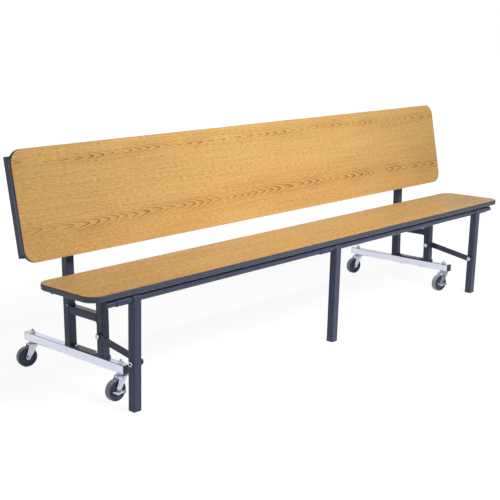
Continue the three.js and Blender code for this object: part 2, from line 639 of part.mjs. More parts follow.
// Casters: stem with its dome nut, swivel fork with a riveted axle, wheel, and a brake lever in front
function revolve(profile, steps) {
  return new THREE.LatheGeometry(profile.map(([r, y]) => new THREE.Vector2(r, y)), steps);
}

function casterStem() {
  const rivetTop = FORK_BOTTOM_Z - FIT_GAP;
  const raceShoulder = RACE_HEIGHT / 2;
  const nutBase = BAR_TOP_Z + FIT_GAP;
  const nutMiddle = nutBase + DOME_NUT_HEIGHT / 2;
  const nutTop = nutBase + DOME_NUT_HEIGHT;
  const profile = [
    [0, rivetTop - RIVET_HEIGHT],
    [RIVET_RADIUS, rivetTop - RIVET_HEIGHT],
    [RIVET_RADIUS, rivetTop],
    [STEM_RADIUS, rivetTop],
    [STEM_RADIUS, RACE_BOTTOM_Z],
    [RACE_RADIUS, RACE_BOTTOM_Z],
    [RACE_RADIUS, RACE_TOP_Z - raceShoulder],
    [RACE_RADIUS - raceShoulder, RACE_TOP_Z],
    [STEM_RADIUS, RACE_TOP_Z],
    [STEM_RADIUS, nutMiddle],
    [DOME_RADIUS, nutMiddle],
  ];
  for (let i = 0; i < DOME_STEPS; i += 1) {
    const angle = QUARTER_TURN * i / DOME_STEPS;
    profile.push([DOME_RADIUS * Math.cos(angle), nutTop + DOME_RADIUS * Math.sin(angle)]);
  }
  profile.push([0, nutTop + DOME_RADIUS]);
  const stem = revolve(profile, STEM_STEPS).rotateX(QUARTER_TURN);
  const nut = hexagon(DOME_NUT, DOME_NUT_HEIGHT, 'z').translate(0, 0, nutMiddle);
  return join(stem, nut);
}

function forkSide() {
  const outline = new THREE.Shape();
  outline.moveTo(FORK_SHOULDER, FORK_MIDDLE_Z);
  outline.lineTo(-FORK_HEEL, FORK_MIDDLE_Z);
  outline.absarc(-CASTER_TRAIL, AXLE_Z, FORK_FOOT_RADIUS, HALF_TURN, FULL_TURN - QUARTER_TURN / 2);
  return extrude(outline, FORK_STEEL, 'z', LEVER_STEPS).rotateX(QUARTER_TURN);
}

function casterFork(leverGap) {
  const bore = rod(STEM_RADIUS + RUN_GAP, 2 * FORK_TOP_HEIGHT, 'z', BOLT_STEPS);
  const plate = cut(rod(FORK_TOP_RADIUS, FORK_TOP_HEIGHT, 'z'), bore).translate(0, 0, FORK_MIDDLE_Z);
  const sideY = FORK_HALF_OUTSIDE - FORK_STEEL / 2;
  const headFront = FORK_HALF_OUTSIDE + leverGap;
  const shank = rod(AXLE_RADIUS, headFront + FORK_HALF_OUTSIDE + AXLE_HEAD_HEIGHT, 'y', BOLT_STEPS);
  shank.translate(-CASTER_TRAIL, (FORK_HALF_OUTSIDE - headFront) / 2, AXLE_Z);
  const frontHead = rod(AXLE_HEAD_RADIUS, AXLE_HEAD_HEIGHT, 'y', BOLT_STEPS);
  frontHead.translate(-CASTER_TRAIL, -headFront - AXLE_HEAD_HEIGHT / 2, AXLE_Z);
  const rearHead = rod(AXLE_HEAD_RADIUS, AXLE_HEAD_HEIGHT, 'y', BOLT_STEPS);
  rearHead.translate(-CASTER_TRAIL, FORK_HALF_OUTSIDE + AXLE_HEAD_HEIGHT / 2, AXLE_Z);
  return join(
    plate,
    forkSide().translate(0, -sideY, 0),
    forkSide().translate(0, sideY, 0),
    shank,
    frontHead,
    rearHead,
  );
}

function casterWheel() {
  const half = WHEEL_WIDTH / 2;
  const outer = WHEEL_DIAMETER / 2;
  const bore = AXLE_RADIUS + RUN_GAP;
  const face = half - HUB_RECESS;
  const rim = RIM_RADIUS + HUB_RECESS;
  const shoulder = half - TREAD_ROUND;
  const profile = [
    [bore, -half],
    [HUB_RADIUS, -half],
    [HUB_RADIUS + HUB_RECESS, -face],
    [RIM_RADIUS, -face],
    [rim, -half],
    [outer - TREAD_ROUND, -half],
    [outer, -shoulder],
    [outer, shoulder],
    [outer - TREAD_ROUND, half],
    [rim, half],
    [RIM_RADIUS, face],
    [HUB_RADIUS + HUB_RECESS, face],
    [HUB_RADIUS, half],
    [bore, half],
    [bore, -half],
  ];
  return revolve(profile, WHEEL_STEPS);
}

function brakeLever() {
  const half = PEDAL_HEIGHT / 2;
  const bellyStart = HALF_TURN + QUARTER_TURN - LEVER_BELLY_ANGLE;
  const bellyEnd = HALF_TURN + QUARTER_TURN + LEVER_BELLY_ANGLE;
  const outline = new THREE.Shape();
  outline.absarc(LEVER_REACH, -PEDAL_DROP, half, -QUARTER_TURN, QUARTER_TURN);
  outline.absarc(0, 0, LEVER_BOSS, -LEVER_NECK_ANGLE, HALF_TURN + LEVER_NECK_ANGLE);
  outline.absarc(-LEVER_REACH, LEVER_TIP_RISE, LEVER_TIP, QUARTER_TURN, HALF_TURN + QUARTER_TURN);
  outline.absarc(0, 0, LEVER_BELLY, bellyStart, bellyEnd);
  outline.holes.push(circle(0, 0, AXLE_RADIUS + RUN_GAP));
  const plate = extrude(outline, LEVER_STEEL, 'z', LEVER_STEPS).rotateX(QUARTER_TURN);
  const pedal = new THREE.BoxGeometry(LEVER_STEEL, PEDAL_DEPTH, PEDAL_HEIGHT);
  pedal.translate(LEVER_REACH, -PEDAL_DEPTH / 2, -PEDAL_DROP);
  return join(plate, pedal);
}

function addCaster(bench, place, x, y, turn, hasBrake) {
  const caster = addGroup(bench, x, y, 0);
  addMesh(caster, `caster_stem_${place}`, casterStem(), zinc);
  const swivel = addGroup(caster, 0, 0, 0);
  swivel.rotation.z = turn;
  const leverGap = hasBrake ? LEVER_STEEL + 2 * FIT_GAP : 0;
  addMesh(swivel, `caster_fork_${place}`, casterFork(leverGap), zinc);
  addMesh(swivel, `caster_wheel_${place}`, casterWheel(), casterRubber, -CASTER_TRAIL, 0, AXLE_Z);
  if (hasBrake) {
    const leverY = -FORK_HALF_OUTSIDE - FIT_GAP - LEVER_STEEL / 2;
    addMesh(swivel, `brake_lever_${place}`, brakeLever(), zinc, -CASTER_TRAIL, leverY, AXLE_Z);
  }
}

// The whole bench
const bench = new THREE.Group();
addSeat(bench);
addLegs(bench);
addMesh(bench, 'hinge_rail', rail(HINGE_RAIL_LENGTH), charcoalPaint, 0, HINGE_Y, RAIL_Z);
addBack(bench);
for (const [place, side] of [['left', -1], ['right', 1]]) {
  addEndFrame(bench, place, side);
  const frontTurn = side < 0 ? 0 : CASTER_TURN;
  addCaster(bench, `front_${place}`, side * FRAME_X, BAR_FRONT_Y + STEM_SETBACK, frontTurn, true);
  addCaster(bench, `rear_${place}`, side * FRAME_X, BAR_REAR_Y - STEM_SETBACK, CASTER_TURN, false);
}

export default bench;
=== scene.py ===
import json
import math
from collections import namedtuple

import bmesh
import bpy
from bpy.props import FloatProperty, FloatVectorProperty, PointerProperty
from mathutils import Matrix, Vector


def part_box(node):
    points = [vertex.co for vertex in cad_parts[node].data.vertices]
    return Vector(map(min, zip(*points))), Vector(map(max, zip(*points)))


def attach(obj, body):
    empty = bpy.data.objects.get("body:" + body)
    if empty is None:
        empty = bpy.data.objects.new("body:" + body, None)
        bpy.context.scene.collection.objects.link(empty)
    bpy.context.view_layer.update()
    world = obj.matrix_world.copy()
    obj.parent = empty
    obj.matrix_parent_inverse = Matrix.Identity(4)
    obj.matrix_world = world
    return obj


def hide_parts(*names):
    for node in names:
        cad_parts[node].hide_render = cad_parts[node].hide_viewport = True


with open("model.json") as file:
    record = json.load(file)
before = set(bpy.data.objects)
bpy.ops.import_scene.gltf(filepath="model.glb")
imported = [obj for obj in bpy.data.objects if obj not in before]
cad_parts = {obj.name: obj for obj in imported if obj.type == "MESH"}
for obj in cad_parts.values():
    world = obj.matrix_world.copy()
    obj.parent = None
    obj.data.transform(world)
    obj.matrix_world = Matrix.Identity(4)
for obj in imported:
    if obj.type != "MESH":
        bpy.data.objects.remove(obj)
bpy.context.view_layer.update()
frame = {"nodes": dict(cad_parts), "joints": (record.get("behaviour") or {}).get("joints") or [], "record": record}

bl_info = {
    "name": "Convertible bench finisher",
    "version": (1, 0, 0),
    "blender": (4, 5, 0),
    "location": "3D View > Sidebar > Bench",
    "description": "Builds the finished surfaces of a mobile convertible bench around its solid frame",
    "category": "Object",
}

# Places worked out from the frame
QUARTER = math.pi / 2
PIVOTS = {joint["name"]: Vector(joint["pos_m"]) for joint in frame["joints"]}
AXES = {joint["name"]: joint["axis"] for joint in frame["joints"]}
MOUNTS = {mount["name"]: mount for mount in frame["record"]["mounts"]}
SIDES = {"left": -1, "right": 1}
PLACES = ("left", "middle", "right")
CORNERS = [f"{end}_{side}" for end in ("front", "rear") for side in SIDES]

# Turned frames: their own Z runs along a tube, or out of a board's laminate face
UPRIGHT = Matrix.Identity(4)
ALONG_X = Matrix(((0, 0, 1, 0), (1, 0, 0, 0), (0, 1, 0, 0), (0, 0, 0, 1)))
ALONG_Y = Matrix.Rotation(-QUARTER, 4, "X")
FACING_FRONT = Matrix.Rotation(QUARTER, 4, "X")
FACING_DOWN = Matrix.Rotation(math.pi, 4, "X")
TABLE_AXIS = Vector(MOUNTS["table_face"]["axis"])
BACK_LEAN = math.atan2(TABLE_AXIS.z, -TABLE_AXIS.y)
BACK = Matrix.Translation(PIVOTS["back_flip"]) @ Matrix.Rotation(-BACK_LEAN, 4, "X")
BACK_FACE = BACK @ FACING_FRONT
RAIL_SPOT = PIVOTS["leg_fold"]
LINK_FOOT = sum(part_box("link_lower_bolt_left"), Vector()) / 2
LEG_LEAN = math.atan2(LINK_FOOT.y - RAIL_SPOT.y, RAIL_SPOT.z - LINK_FOOT.z)
LEGS = Matrix.Translation(RAIL_SPOT) @ Matrix.Rotation(LEG_LEAN, 4, "X")

# Steps on round forms
TUBE_STEPS = 5
BOARD_STEPS = 16
ROUND_STEPS = 40
SMALL_STEPS = 20
WHEEL_STEPS = 72
EDGE_STEPS = 2
NOSE_STEPS = 5
WELD_STEPS = 7

# Limits for edges, faces and corners, and the ripple of a weld bead
SMOOTH_ANGLE = math.radians(38)
FLAT_ANGLE = math.radians(1)
DOWNWARD = 0.9
CORNER_LIMIT = 0.3
WELD_RIPPLE = 0.09

# Profiles and places as shares of a piece's own size
PAN_HEAD = ((0, 0), (1, 0), (1, 0.35), (0.82, 0.78), (0.5, 1), (0.36, 1), (0.3, 0.45), (0, 0.4))
RACE_CUP = ((0, 0), (0.94, 0), (1, 0.12), (1, 0.4), (0.93, 0.66), (0.78, 0.86), (0.56, 1), (0, 1))
BOLT_TIP = ((0, 0), (1, 0), (1, 2), (0, 2.5))
TREAD_GROOVE = ((0, 4), (-1, 3.4), (-1, 2.4), (0, 1.8))
TIP_EASE = 0.8
DOME_SEAT = 0.9
SADDLE_SCREWS = (0.25, 0.75)
CHANNEL_SCREWS = (0.1, 0.5, 0.9)

# Numbers that divide a piece's own size
MERGE_SHARE = 100
HEX_EASE = 6
TIP_SHARE = 5
BAR_TIP_SHARE = 4
CAP_EASE = 3
SOLE_EASE = 3
FORK_LIP = 4
ARM_EASE = 4
RIB_EASE = 2
RIB_WIDTH = 3
RIB_START = 8
TREAD_EDGE = 3

# Turns along round edges
ROUND_TOP_TURNS = (0, 0.3, 0.6, 0.9, 1.15, 1.35, 1.48)
ARM_FOOT_END = 3.5 * QUARTER

# Ranges: the part of a value that counts, and what it becomes
UNIT = (0.0, 1.0)
SMUDGE_COUNTS = (0.3, 0.7)
EDGE_COSINES = (0.99, 0.80)
GROUND_REACH = (1.3, 2.6)
GROUND_GLOW = (0.88, 1.0)
CEILING_COUNTS = (0.30, 0.60)

# Noises: cells to the metre along the axes, detail, the part that counts, and what it becomes
NOISES = {
    "sway": ((1.7, 2.0, 0), 1.0, UNIT, (-0.16, 0.16)),
    "drift": ((1.3, 0.2, 0), 1.0, UNIT, (-0.026, 0.026)),
    "quiver": ((7.0, 45.0, 0), 2.0, UNIT, (-0.32, 0.32)),
    "patch": ((5.0, 8.0, 0), 1.0, (0.34, 0.62), (0.12, 1.0)),
    "broken": ((60.0, 420.0, 0), 1.0, (0.35, 0.6), (0.7, 1.15)),
    "pores": ((80.0, 800.0, 0), 2.0, (0.48, 0.62), UNIT),
    "dashes": ((52.0, 330.0, 0), 2.0, (0.36, 0.64), (-0.12, 0.25)),
    "streak": ((2.6, 130.0, 0), 3.0, (0.2, 0.8), (-0.08, 0.27)),
    "cloud": ((1.3, 7.0, 0), 2.0, (0.2, 0.8), (-0.08, 0.10)),
    "rubbed": ((70, 70, 70), 4.0, (0.42, 0.62), UNIT),
    "dust": ((55, 55, 55), 4.0, (0.35, 0.75), UNIT),
    "scuff": ((24, 160, 160), 4.0, (0.62, 0.74), (0.0, 0.35)),
    "backing": ((40, 260, 260), 3.0, UNIT, UNIT),
    "drawn": ((900, 12, 900), 3.0, UNIT, UNIT),
    "ground": ((3, 3, 3), 3.0, (0.3, 0.7), (0.78, 0.82)),
}

# Detail of the marks and the wear, and the shape of the oak's lines
SMUDGE_DETAIL = 4.0
TEXTURE_DETAIL = 2.0
WEAR_SAMPLES = 6
ARCH_POWER = 1.6
LINE_POWER = 3.6
LINE_GROUND = 0.10
FADE_RATE = 0.34
FADE_POWER = -1.8
PORE_TONE = 0.16

# Layers of the finishes: how much each one shows, darkens, lightens or roughens, and its size
PORE_ROUGH = 0.10
BACKER_MOTTLE = 0.5
BACKER_PALE = 1.5
PAINT_DEEP = 0.82
PAINT_WEAR = 0.4
PAINT_WEAR_WIDTH = 0.0016
PAINT_DUST = 0.16
PAINT_DUST_REACH = 0.16
DUST_ROUGH = 0.10
CHROME_DEEP = 0.94
DRAWN_ROUGH = 0.08
ZINC_DEEP = 0.72
CRYSTAL_CELLS = 420.0
CRYSTAL_ROUGH = 0.16
PLASTIC_PALE = 1.6
PLASTIC_SMUDGE = 0.35
PLASTIC_DUST = 0.22
CAP_DUST_REACH = 0.14
WHEEL_DUST_REACH = 0.09

# Mix node's two inputs and its result, for each kind of value
MIX_SOCKETS = {"FLOAT": (2, 3, 0), "RGBA": (6, 7, 2)}

# Marks of use: smudge size, texture size and bump depth in metres, roughness, and what smudges add to it
Marks = namedtuple("Marks", "smudge_size texture_size depth rough smear")
Material = namedtuple("Material", "tree shader spot smudge texture marks")
OAK_MARKS = Marks(0.12, 0.0012, 0.00008, 0.40, 0.07)
PLASTIC_MARKS = Marks(0.02, 0.0011, 0.00008, 0.46, 0.16)
MARKS = {
    "Back laminate": OAK_MARKS,
    "Seat laminate": OAK_MARKS,
    "Backer sheet": Marks(0.2, 0.002, 0.0001, 0.62, 0.0),
    "Edge vinyl": Marks(0.05, 0.0009, 0.00006, 0.34, 0.14),
    "Frame paint": Marks(0.07, 0.0016, 0.00005, 0.20, 0.10),
    "Bar chrome": Marks(0.05, 0.0007, 0.00001, 0.12, 0.08),
    "Zinc plate": Marks(0.012, 0.0008, 0.00003, 0.20, 0.0),
    "Black plastic": PLASTIC_MARKS,
    "Wheel side": PLASTIC_MARKS,
    "Wheel tread": PLASTIC_MARKS,
}

# Lamps: width and depth, place and target, in metres
LAMPS = {
    "Key lamp": ((2.0, 1.4), (0.0, -2.1, 2.3), (0.0, 0, 0.57)),
    "Fill lamp": ((2.0, 1.6), (-3.6, -0.6, 1.7), (-0.6, 0, 0.4)),
    "Top lamp": ((2.2, 1.2), (0.0, -0.5, 2.9), (0.0, -0.1, 0.5)),
}

# Floor, room and camera
WHITE = (1, 1, 1, 1)
SHADOW_GREY = (0.32, 0.32, 0.32, 1)
SENSOR_WIDTH = 36


def length(name, description, default):
    """A size in metres that a user may change."""
    return FloatProperty(
        name=name, description=description, default=default, min=0, unit="LENGTH", precision=4
    )


def colour(name, description, default):
    """A colour that a user may change."""
    return FloatVectorProperty(
        name=name, description=description, subtype="COLOR", size=4, min=0, max=1, default=(*default, 1)
    )


def amount(name, description, default):
    """A plain number that a user may change."""
    return FloatProperty(name=name, description=description, default=default, min=0)


def power(name, description, default):
    """A lamp's power that a user may change."""
    return FloatProperty(name=name, description=description, default=default, min=0, unit="POWER")


def angle(name, description, degrees):
    """An angle that a user may change."""
    return FloatProperty(name=name, description=description, default=math.radians(degrees), subtype="ANGLE")


class BenchSizes(bpy.types.PropertyGroup):
    """Sizes of the surfaces' own detail"""

    seat_corner: length("Seat corner", "Radius of the seat board's corners", 0.0487)
    back_corner: length("Back corner", "Radius of the back board's corners", 0.0447)
    board_edge: length("Board edge", "Rounding where the laminate meets its edge mould", 0.0005)
    mould_face: length("Mould face", "Thickness of the edge mould outside the board", 0.003)
    mould_ease: length("Mould ease", "How far the smooth nose stays inside the frame's own nose", 0.00015)
    sheet: length("Laminate sheet", "Thickness of the back's laminate sheet", 0.0012)
    sheet_lap: length("Laminate lap", "How far the back's laminate sheet laps over its edge mould", 0.0024)
    mould_nose: length("Mould nose", "How far the edge mould's nose swells", 0.0024)
    mould_round: length("Mould rounding", "Height of the rounding of the edge mould's nose", 0.006)
    tube_corner: length("Tube corner", "Outer corner radius of the square tubes", 0.0035)
    tube_wall: length("Rail wall", "Wall of the round rails, seen at their ends", 0.002)
    rail_plug: length("Rail plug depth", "Depth of the plug inside each rail end", 0.001)
    joint_gap: length("Joint gap", "Fine line between two parts that meet", 0.0003)
    steel_edge: length("Steel edge", "Rounding of cut steel edges", 0.0006)
    plastic_edge: length("Plastic edge", "Rounding of moulded plastic edges", 0.0014)
    strap_steel: length("Strap steel", "Thickness of the rail saddles", 0.002)
    bracket_steel: length("Bracket steel", "Thickness of the steel behind the back", 0.003)
    weld: length("Weld bead", "Radius of a weld bead", 0.0023)
    weld_pitch: length("Weld pitch", "Spacing of the ripples in a weld bead", 0.0032)
    bolt_flats: length("Bolt flats", "Hexagon size of the pivot bolts", 0.017)
    bolt_head: length("Bolt head", "Height of a pivot bolt's head", 0.005)
    bolt_radius: length("Bolt radius", "Radius of a pivot bolt's shank", 0.005)
    sleeve_radius: length("Sleeve radius", "Radius of the sleeve between a leg and its link", 0.009)
    link_half: length("Link half width", "Half the width of a link's flat bar", 0.0125)
    screw_radius: length("Screw radius", "Radius of a wood screw's head", 0.0045)
    screw_height: length("Screw height", "Height of a wood screw's head", 0.0026)
    stop_radius: length("Stop radius", "Radius of the rubber stop under each end of the seat", 0.007)
    stop_height: length("Stop height", "How far that stop stands down from the seat", 0.013)
    stop_inset: length("Stop inset", "Distance of that stop from the seat's end", 0.027)
    stud_radius: length("Stud radius", "Radius of the small stud on each rear upright", 0.0032)
    bar_bolt_flats: length("Bar bolt flats", "Hexagon size of the bolts through the caster bars", 0.013)
    bar_bolt_head: length("Bar bolt head", "Height of those bolts' heads and nuts", 0.0055)
    bar_bolt_inset: length("Bar bolt inset", "Distance of those bolts from the uprights' middles", 0.034)


class BenchCasterSizes(bpy.types.PropertyGroup):
    """Sizes of the casters' own detail"""

    race_radius: length("Race radius", "Radius of the ball race under the bar", 0.017)
    stem_radius: length("Stem radius", "Radius of the stem where it goes through the fork", 0.005)
    play: length("Play", "Room between the parts of a caster that turn", 0.0005)
    nut_flats: length("Dome nut flats", "Hexagon size of the stem's dome nut", 0.017)
    nut_height: length("Dome nut height", "Height of the dome nut's hexagon", 0.007)
    nut_dome: length("Dome nut radius", "Radius of the dome on the nut", 0.007)
    fork_radius: length("Fork plate radius", "Radius of the fork's round top", 0.023)
    fork_plate: length("Fork plate", "Thickness of the fork's round top", 0.006)
    fork_steel: length("Fork steel", "Thickness of the fork's arms", 0.0025)
    fork_gap: length("Fork gap", "Room between the wheel and the fork's arms", 0.002)
    fork_shoulder: length("Fork shoulder", "Reach of the arms' tops ahead of the stem", 0.016)
    fork_heel: length("Fork heel", "Reach of the arms' tops behind the stem", 0.021)
    fork_foot: length("Fork foot", "Radius of the arms' feet round the axle", 0.009)
    rib_height: length("Rib height", "How far the pressed rib stands out of an arm", 0.0009)
    axle_radius: length("Axle radius", "Radius of the axle", 0.004)
    axle_flats: length("Axle nut flats", "Hexagon size of the axle's nuts", 0.012)
    axle_nut: length("Axle nut", "Height of the axle's nuts", 0.0035)
    hub_radius: length("Hub radius", "Radius of the wheel's hub boss", 0.012)
    web_recess: length("Web recess", "Depth of the wheel's web behind its rim", 0.003)
    rim_radius: length("Rim radius", "Inner radius of the wheel's rim", 0.0275)
    tread_round: length("Tread rounding", "Rounding of the tread's shoulders", 0.0045)
    tread_groove: length("Tread groove", "Depth and half width of the tread's grooves", 0.0008)


class BenchFinishes(bpy.types.PropertyGroup):
    """Colours of the finishes"""

    oak_ground: colour("Oak ground", "Pale ground of the oak laminate", (0.87, 0.54, 0.19))
    oak_line: colour("Oak line", "Dark growth lines of the oak laminate", (0.34, 0.14, 0.028))
    backer: colour("Backer sheet", "Hidden side of the boards", (0.115, 0.075, 0.048))
    vinyl: colour("Edge vinyl", "Edge mould round the boards", (0.060, 0.066, 0.108))
    paint: colour("Frame paint", "Powder coat on the tubes", (0.070, 0.083, 0.156))
    bare_steel: colour("Worn paint", "Paint rubbed thin along the edges", (0.16, 0.165, 0.20))
    chrome: colour("Bar chrome", "Plating of the caster bars", (0.73, 0.745, 0.87))
    zinc: colour("Zinc plate", "Plating of the casters and bolts", (0.66, 0.69, 0.80))
    plastic: colour("Black plastic", "Caps and glides", (0.016, 0.016, 0.021))
    wheel: colour("Wheel", "Sides of the caster wheels", (0.046, 0.051, 0.112))
    tread: colour("Tread", "Running face of the caster wheels", (0.44, 0.44, 0.52))
    dust: colour("Floor dust", "Dust on what stands near the floor", (0.30, 0.28, 0.25))


class BenchStage(bpy.types.PropertyGroup):
    """Camera, lamps and floor"""

    lens: amount("Lens", "Focal length in millimetres on a 36 mm sensor", 74.05)
    eye: FloatVectorProperty(
        name="Camera place", description="Where the camera stands", subtype="XYZ", unit="LENGTH",
        default=(-3.0991, -2.7785, 1.2650),
    )
    yaw: angle("Camera yaw", "Turn of the view from +X towards +Y", 43.254)
    pitch: angle("Camera pitch", "How far the view dips below level", 12.728)
    floor_size: length("Floor size", "Side of the square floor", 60.0)
    room_light: amount("Room light", "Strength of the light from all round", 0.20)
    ceiling: amount("Ceiling", "How bright the room overhead looks in reflections", 0.25)
    key_spread: angle("Key spread", "Angle that the front lamp's light spreads over", 110)
    key_power: power("Key lamp", "Power of the front lamp", 26)
    fill_power: power("Fill lamp", "Power of the left lamp", 1)
    top_power: power("Top lamp", "Power of the lamp overhead", 2)


class BenchSettings(bpy.types.PropertyGroup):
    """All of the bench's settings"""

    sizes: PointerProperty(type=BenchSizes, name="Sizes", description="Sizes of the surfaces' detail")
    casters: PointerProperty(type=BenchCasterSizes, name="Casters", description="Sizes of the casters")
    finishes: PointerProperty(type=BenchFinishes, name="Finishes", description="Colours of the finishes")
    stage: PointerProperty(type=BenchStage, name="Stage", description="Camera, lamps and floor")


# Outlines in a plane, anticlockwise, as lists of points
def arc(x, y, radius, start, end, steps):
    """Points along an arc, both ends included."""
    turns = [start + (end - start) * step / steps for step in range(steps + 1)]
    return [(x + radius * math.cos(turn), y + radius * math.sin(turn)) for turn in turns]


def circle(radius, steps):
    """Points round a circle."""
    return arc(0, 0, radius, 0, 4 * QUARTER, steps)[:-1]


def rounded_rect(width, depth, radius, steps):
    """Rectangle with round corners, centred on the origin."""
    points = []
    for corner, (side, end) in enumerate(((1, 1), (-1, 1), (-1, -1), (1, -1))):
        x = side * (width / 2 - radius)
        y = end * (depth / 2 - radius)
        points += arc(x, y, radius, corner * QUARTER, (corner + 1) * QUARTER, steps)
    return points


def hexagon(flats):
    """Regular hexagon of a size across its flats."""
    return circle(flats / math.sqrt(3), 6)


def stadium(reach, half, steps):
    """Bar with round ends, from the origin along its own X."""
    near = arc(0, 0, half, QUARTER, 3 * QUARTER, steps)
    far = arc(reach, 0, half, -QUARTER, QUARTER, steps)
    return near + far


def outward(outline):
    """Outward direction at each point, scaled so that both neighbouring sides move by one."""
    points = [Vector(point) for point in outline]
    directions = []
    for index, point in enumerate(points):
        before = (point - points[index - 1]).normalized()
        after = (points[(index + 1) % len(points)] - point).normalized()
        first = Vector((before.y, -before.x))
        second = Vector((after.y, -after.x))
        middle = (first + second).normalized()
        directions.append(middle / max(middle.dot(first), CORNER_LIMIT))
    return directions


def offset(outline, distance):
    """Outline moved outwards by a distance, or inwards by a negative one."""
    if distance == 0:
        return list(outline)
    return [tuple(Vector(point) + side * distance) for point, side in zip(outline, outward(outline))]


def resample(outline, spacing):
    """Outline with long sides split into steps no longer than a spacing."""
    points = []
    for index, point in enumerate(outline):
        start = Vector(point)
        end = Vector(outline[(index + 1) % len(outline)])
        count = max(1, math.ceil((end - start).length / spacing))
        points += [tuple(start.lerp(end, step / count)) for step in range(count)]
    return points


# Solids, added to a mesh under construction
def skin(mesh, low, high):
    """Faces between two rings of vertices; a ring of one vertex closes to a point."""
    count = max(len(low), len(high))
    for index in range(count):
        after = index + 1
        corners = [low[index % len(low)], low[after % len(low)]]
        corners += [high[after % len(high)], high[index % len(high)]]
        mesh.faces.new(list(dict.fromkeys(corners)))


def loft(mesh, rings, place, loop=False):
    """Skin over a stack of rings, closed by end faces or by joining the last ring to the first."""
    rows = [[mesh.verts.new(place @ Vector(point)) for point in ring] for ring in rings]
    for low, high in zip(rows, rows[1:]):
        skin(mesh, low, high)
    if loop:
        skin(mesh, rows[-1], rows[0])
        return
    for row in (rows[0][::-1], rows[-1]):
        if len(row) > 2:
            mesh.faces.new(row)


def plate(mesh, outline, thickness, place, edge=0.0):
    """Solid of an outline, from the place's own ground upwards, with rounded edges."""
    turns = [QUARTER * step / EDGE_STEPS for step in range(EDGE_STEPS + 1)] if edge else [QUARTER]
    lower = [(edge * (1 - math.cos(turn)), edge * (math.sin(turn) - 1)) for turn in turns]
    upper = [(thickness - height, inset) for height, inset in reversed(lower)]
    rings = []
    for height, inset in lower + upper:
        rings.append([(x, y, height) for x, y in offset(outline, inset)])
    loft(mesh, rings, place)


def turned(mesh, profile, place, steps, loop=False):
    """Solid of revolution about the place's own Z, from points of radius and height."""
    rings = []
    for radius, height in profile:
        ring = circle(radius, steps) if radius else [(0, 0)]
        rings.append([(x, y, height) for x, y in ring])
    loft(mesh, rings, place, loop)


def sweep(mesh, outline, profile, place, ripple=0.0):
    """Closed band that follows an outline; the profile's points are an offset outwards and a height."""
    rings = []
    for index, (point, side) in enumerate(zip(outline, outward(outline))):
        swell = 1 + ripple * (-1) ** index
        ring = []
        for out, height in profile:
            spot = Vector(point) + side * out * swell
            ring.append((spot.x, spot.y, height * swell))
        rings.append(ring)
    loft(mesh, rings, place, loop=True)


def weld(mesh, outline, place, sizes):
    """Rippled weld bead round an outline."""
    bead = circle(sizes.weld, WELD_STEPS)
    sweep(mesh, resample(outline, sizes.weld_pitch), bead, place, WELD_RIPPLE)


def hex_nut(mesh, flats, height, place):
    """Hexagon with its corners eased."""
    plate(mesh, hexagon(flats), height, place, height / HEX_EASE)


def pan_screw(mesh, radius, height, place):
    """Screw head with a low dome and a driver recess."""
    turned(mesh, [(radius * out, height * up) for out, up in PAN_HEAD], place, SMALL_STEPS)


# CAD nodes: where they are, and pieces that stand for them
def shift(x, y, z):
    """Frame moved by three distances."""
    return Matrix.Translation((x, y, z))


def local_box(node, turn):
    """Lowest and highest corner of a CAD node, in a turned frame."""
    home = turn.inverted()
    spots = [home @ vertex.co for vertex in frame["nodes"][node].data.vertices]
    return [Vector([pick(spot[axis] for spot in spots) for axis in range(3)]) for pick in (min, max)]


def footprint(node, turn):
    """Place at the middle of a node's lower face in a turned frame, and the node's size there."""
    low, high = local_box(node, turn)
    middle = (low + high) / 2
    return turn @ shift(middle.x, middle.y, low.z), high - low


def far_end(place, size):
    """The same footprint, seen from the node's other end."""
    return place @ shift(0, 0, size.z) @ FACING_DOWN


def caster_frame(corner):
    """Frame of a caster: its origin on the floor under the stem, its own Y along the axle."""
    stem = PIVOTS[f"{corner}_swivel_turn"]
    axle = AXES[f"{corner}_wheel_spin"]
    turn = math.atan2(-axle[0], axle[1])
    return shift(stem.x, stem.y, 0) @ Matrix.Rotation(turn, 4, "Z")


def piece(name, mesh, finish, body, *replaced):
    """Finished piece from a mesh under construction; it rides on a body and may stand for CAD nodes."""
    bmesh.ops.recalc_face_normals(mesh, faces=mesh.faces)
    data = bpy.data.meshes.new(name)
    mesh.to_mesh(data)
    mesh.free()
    data.materials.append(bpy.data.materials[finish])
    data.shade_smooth()
    data.set_sharp_from_angle(angle=SMOOTH_ANGLE)
    item = bpy.data.objects.new(name, data)
    bpy.context.scene.collection.objects.link(item)
    item.modifiers.new("Even shading", "WEIGHTED_NORMAL").keep_sharp = True
    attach(item, body)
    if replaced:
        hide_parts(*replaced)
    return item


def cover(node, ending, mesh, finish, body):
    """Piece that stands for one CAD node, named after it with an ending."""
    return piece(f"{node}_{ending}", mesh, finish, body, node)


def eased(node, edge):
    """Mesh of a CAD node with its flats merged and its cut edges rounded."""
    mesh = bmesh.new()
    mesh.from_mesh(frame["nodes"][node].data)
    bmesh.ops.remove_doubles(mesh, verts=mesh.verts, dist=edge / MERGE_SHARE)
    bmesh.ops.dissolve_limit(mesh, angle_limit=FLAT_ANGLE, verts=mesh.verts, edges=mesh.edges)
    sharp = [side for side in mesh.edges if side.is_manifold and side.calc_face_angle() > SMOOTH_ANGLE]
    bmesh.ops.bevel(
        mesh, geom=sharp, offset=edge, segments=EDGE_STEPS, profile=0.5, affect="EDGES", clamp_overlap=True
    )
    return mesh


# Shader nodes
def feed(tree, socket, value):
    """Links a socket to another, or sets its value."""
    if isinstance(value, bpy.types.NodeSocket):
        tree.links.new(value, socket)
    else:
        socket.default_value = value


